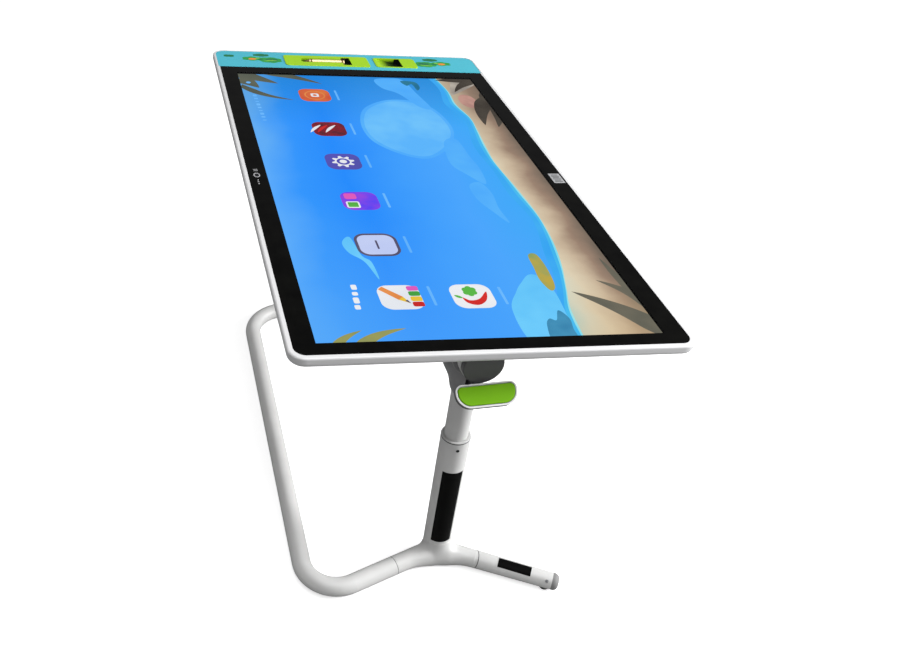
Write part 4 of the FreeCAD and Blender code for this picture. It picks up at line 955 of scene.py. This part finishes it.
def hub_bars():
    """Object of three rounded bars joined by a voxel remesh."""
    bm = bmesh.new()
    bars = ((COLUMN_START, UP, COLUMN_R, STEM_LENGTH),
            (LEG_START, LEG, LEG_R, LEG_SEAM + OVERRUN),
            (FOOT_START, FOOT, FOOT_R, FOOT_SEAM + OVERRUN))
    for start, direction, radius, length in bars:
        turn = direction.to_track_quat("Z", "Y").to_matrix().to_4x4()
        place = Matrix.Translation(start + direction * length / 2) @ turn
        bmesh.ops.create_cone(bm, cap_ends=True, segments=64, radius1=radius, radius2=radius,
                              depth=length, matrix=place)
        bmesh.ops.create_icosphere(bm, subdivisions=4, radius=radius, matrix=Matrix.Translation(start))
    mesh = bpy.data.meshes.new("hub_casting_skin")
    bm.to_mesh(mesh)
    bm.free()
    obj = new_object("hub_casting_skin", mesh)
    remesh = obj.modifiers.new("union", "REMESH")
    remesh.mode = "VOXEL"
    remesh.voxel_size = HUB_VOXEL
    apply_modifiers(obj)
    return obj


def settle(mesh):
    """Pulls every corner of the hub's mesh on to the smooth field."""
    for v in mesh.vertices:
        p = v.co.copy()
        for _ in range(SETTLE_ROUNDS):
            f = hub_field(p)
            g = hub_slope(p)
            if g.length < 1e-6:
                break
            p -= g * (f / g.length_squared) * SETTLE_SHARE
        v.co = p


def cut_at_seams(mesh):
    """Cuts the hub flat at its top, its bottom and the two seams."""
    bm = bmesh.new()
    bm.from_mesh(mesh)
    cuts = ((Vector((0, 0, HUB_TOP)), UP), (Vector((0, 0, HUB_BOTTOM)), -UP),
            (LEG_START + LEG * LEG_SEAM, LEG), (FOOT_START + FOOT * FOOT_SEAM, FOOT))
    for point, normal in cuts:
        geom = bm.verts[:] + bm.edges[:] + bm.faces[:]
        cut = bmesh.ops.bisect_plane(bm, geom=geom, plane_co=point, plane_no=normal,
                                     clear_outer=True, dist=1e-6)
        edges = [e for e in cut["geom_cut"] if isinstance(e, bmesh.types.BMEdge)]
        bmesh.ops.contextual_create(bm, geom=edges)
    bmesh.ops.recalc_face_normals(bm, faces=bm.faces)
    bm.to_mesh(mesh)
    bm.free()


def build_hub():
    """One smooth casting in place of the CAD's hub."""
    obj = hub_bars()
    settle(obj.data)
    cut_at_seams(obj.data)
    bore_hub(obj)
    mesh = obj.data
    mesh.materials.clear()
    mesh.materials.append(POWDER)
    smooth(obj)
    for face in mesh.polygons:
        if len(face.vertices) > 6:
            face.use_smooth = False
    attach(obj, "base")
    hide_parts("base_hub")


RING_ROOT = -0.0008            # a ring starts this far inside its tube


def ring_band(name, centre, direction, radius, width, height, body, material,
              skew=Vector((0, 0, 0)), count=72):
    """Slim closed ring round a tube; skew leans it along the tube on the side it points to."""
    profile = [(-width / 2, RING_ROOT), (-width / 2, height * 0.6), (-width * 0.3, height),
               (width * 0.3, height), (width / 2, height * 0.6), (width / 2, RING_ROOT)]
    turn = direction.to_track_quat("Z", "Y").to_matrix()
    bm = bmesh.new()
    rings = []
    for i in range(count):
        a = 2 * math.pi * i / count
        out = turn @ Vector((math.cos(a), math.sin(a), 0))
        lean = direction * out.dot(skew)
        rings.append([bm.verts.new(centre + out * (radius + h) + direction * z + lean)
                      for z, h in profile])
    for i in range(count):
        a, b = rings[i], rings[(i + 1) % count]
        for k in range(len(profile)):
            j = (k + 1) % len(profile)
            bm.faces.new((a[k], b[k], b[j], a[j]))
    obj = closed_object(name, bm)
    obj.data.materials.append(material)
    smooth(obj)
    attach(obj, body)


FOOT_LINE_SKEW = Vector((-0.0018, -0.0040, 0.0040))


def seam_rings():
    """Dark joint lines on the base and the column, and two bronze bands on the stylus."""
    ring_band("foot_joint_line", FOOT * FOOT_SEAM + FOOT_START, FOOT, FOOT_R, 0.0012, 0.00012,
              "base", DARK_POLYMER, FOOT_LINE_SKEW)
    ring_band("leg_joint_line", LEG * LEG_SEAM + LEG_START, LEG, LEG_R, 0.0008, 0.0001,
              "base", DARK_INK)
    column_top = Vector((0, 0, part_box("outer_column_tube")[1].z))
    ring_band("bush_joint_line", column_top, UP, COLUMN_R, 0.0012, 0.0001,
              "base", DARK_INK)
    low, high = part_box("stylus_barrel")
    middle = (low + high) / 2
    half = (high - low).length / 2
    radius = (high.y - low.y) / 2
    for name, share in (("stylus_tip_band", -0.86), ("stylus_end_band", 0.84)):
        ring_band(name, middle + ACROSS * half * share, ACROSS, radius, 0.004, 0.0003, "stylus",
                  BRONZE)


# ---- floor, light and camera -------------------------------------------------------------
FLOOR_HALF = 60.0
FLOOR_GLOW = 0.66              # added to what the camera sees of the floor
WORLD_FILL, WORLD_SEEN = 0.28, 0.95      # strength as light, and as the camera sees it


def build_floor():
    """Pale floor that looks bright to the camera and bounces less light on to the object."""
    mesh = bpy.data.meshes.new("studio_floor")
    corners = rectangle(-FLOOR_HALF, FLOOR_HALF, -FLOOR_HALF, FLOOR_HALF)
    mesh.from_pydata([(x, y, 0) for x, y in corners], [], [(0, 1, 2, 3)])
    floor = new_object("studio_floor", mesh)
    sh = Shader("studio_floor")
    seen = sh.principled(Roughness=0.8)
    tone = sh.mix(sh.noise(0.7), (0.66, 0.66, 0.66, 1), (0.72, 0.72, 0.72, 1))
    sh.link(tone, seen.inputs["Base Color"])
    seen.inputs["Emission Color"].default_value = (1, 1, 1, 1)
    seen.inputs["Emission Strength"].default_value = FLOOR_GLOW
    bounce = sh.add("ShaderNodeBsdfDiffuse", Color=(0.34, 0.34, 0.34, 1.0))
    camera_ray = sh.add("ShaderNodeLightPath").outputs["Is Camera Ray"]
    mesh.materials.append(sh.finish(sh.blend(camera_ray, bounce.outputs[0], seen.outputs[0])))


def area_light(name, place, target, size, power):
    """Soft rectangular light aimed at target."""
    data = bpy.data.lights.new(name, "AREA")
    data.shape = "RECTANGLE"
    data.size, data.size_y = size
    data.energy = power
    lamp = bpy.data.objects.new(name, data)
    bpy.context.scene.collection.objects.link(lamp)
    lamp.location = place
    lamp.rotation_mode = "QUATERNION"
    lamp.rotation_quaternion = (Vector(target) - Vector(place)).to_track_quat("-Z", "Y")


def build_light():
    """White surroundings, a large soft light overhead and one from the right."""
    world = bpy.data.worlds.new("studio")
    world.use_nodes = True
    tree = world.node_tree
    path = tree.nodes.new("ShaderNodeLightPath")
    strength = tree.nodes.new("ShaderNodeMapRange")
    strength.inputs["To Min"].default_value = WORLD_FILL
    strength.inputs["To Max"].default_value = WORLD_SEEN
    background = tree.nodes["Background"]
    tree.links.new(path.outputs["Is Camera Ray"], strength.inputs["Value"])
    tree.links.new(strength.outputs["Result"], background.inputs["Strength"])
    background.inputs["Color"].default_value = (1.0, 1.0, 1.0, 1.0)
    bpy.context.scene.world = world
    area_light("overhead", (0.1, -0.3, 3.5), (0.1, 0.3, 0.0), (3.0, 3.0), 105)
    area_light("right", (2.6, -0.4, 1.4), (0, 0.0, 0.2), (1.4, 1.2), 135)
    bpy.context.scene.view_settings.view_transform = "Standard"


CAMERA_PLACE = Vector((-0.46128, -1.03083, 1.37920))
CAMERA_YAW = math.radians(-10.454)
CAMERA_PITCH = math.radians(39.887)
CAMERA_ROLL = math.radians(1.522)
CAMERA_LENS = 36.631
CAMERA_SHIFT = (0.16926, 0.04126)
SENSOR_WIDTH = 36.0
SHIFT_RANGE = 0.05             # the shift fades out over this move of the camera, metres


def drive_shift(data, field, value, cam):
    """Shift is value while the camera's X stays at its matching place, and 0 elsewhere."""
    setattr(data, field, value)
    curve = data.driver_add(field)
    curve.driver.type = "SUM"
    source = curve.driver.variables.new()
    source.type = "TRANSFORMS"
    source.targets[0].id = cam
    source.targets[0].transform_type = "LOC_X"
    source.targets[0].transform_space = "WORLD_SPACE"
    for modifier in list(curve.modifiers):
        curve.modifiers.remove(modifier)
    home = CAMERA_PLACE.x
    for x, y in ((home - SHIFT_RANGE, 0.0), (home, value), (home + SHIFT_RANGE, 0.0)):
        key = curve.keyframe_points.insert(x, y)
        key.interpolation = "LINEAR"


def build_camera():
    """Camera at the matching view; its lens shift fades out when it is moved elsewhere."""
    data = bpy.data.cameras.new("camera")
    data.lens = CAMERA_LENS
    data.sensor_width = SENSOR_WIDTH
    cam = bpy.data.objects.new("camera", data)
    bpy.context.scene.collection.objects.link(cam)
    turn = (Matrix.Rotation(CAMERA_YAW, 4, "Z") @ Matrix.Rotation(math.pi / 2 - CAMERA_PITCH, 4, "X")
            @ Matrix.Rotation(CAMERA_ROLL, 4, "Z"))
    cam.matrix_world = Matrix.Translation(CAMERA_PLACE) @ turn
    bpy.context.scene.camera = cam
    for field, value in zip(("shift_x", "shift_y"), CAMERA_SHIFT):
        drive_shift(data, field, value, cam)


dress_nodes()
screen_ground()
screen_beach()
screen_clouds()
screen_plants()
screen_icons()
tray_decals()
pocket_shade_sheets()
border_marks()
build_hub()
seam_rings()
build_floor()
build_light()
build_camera()
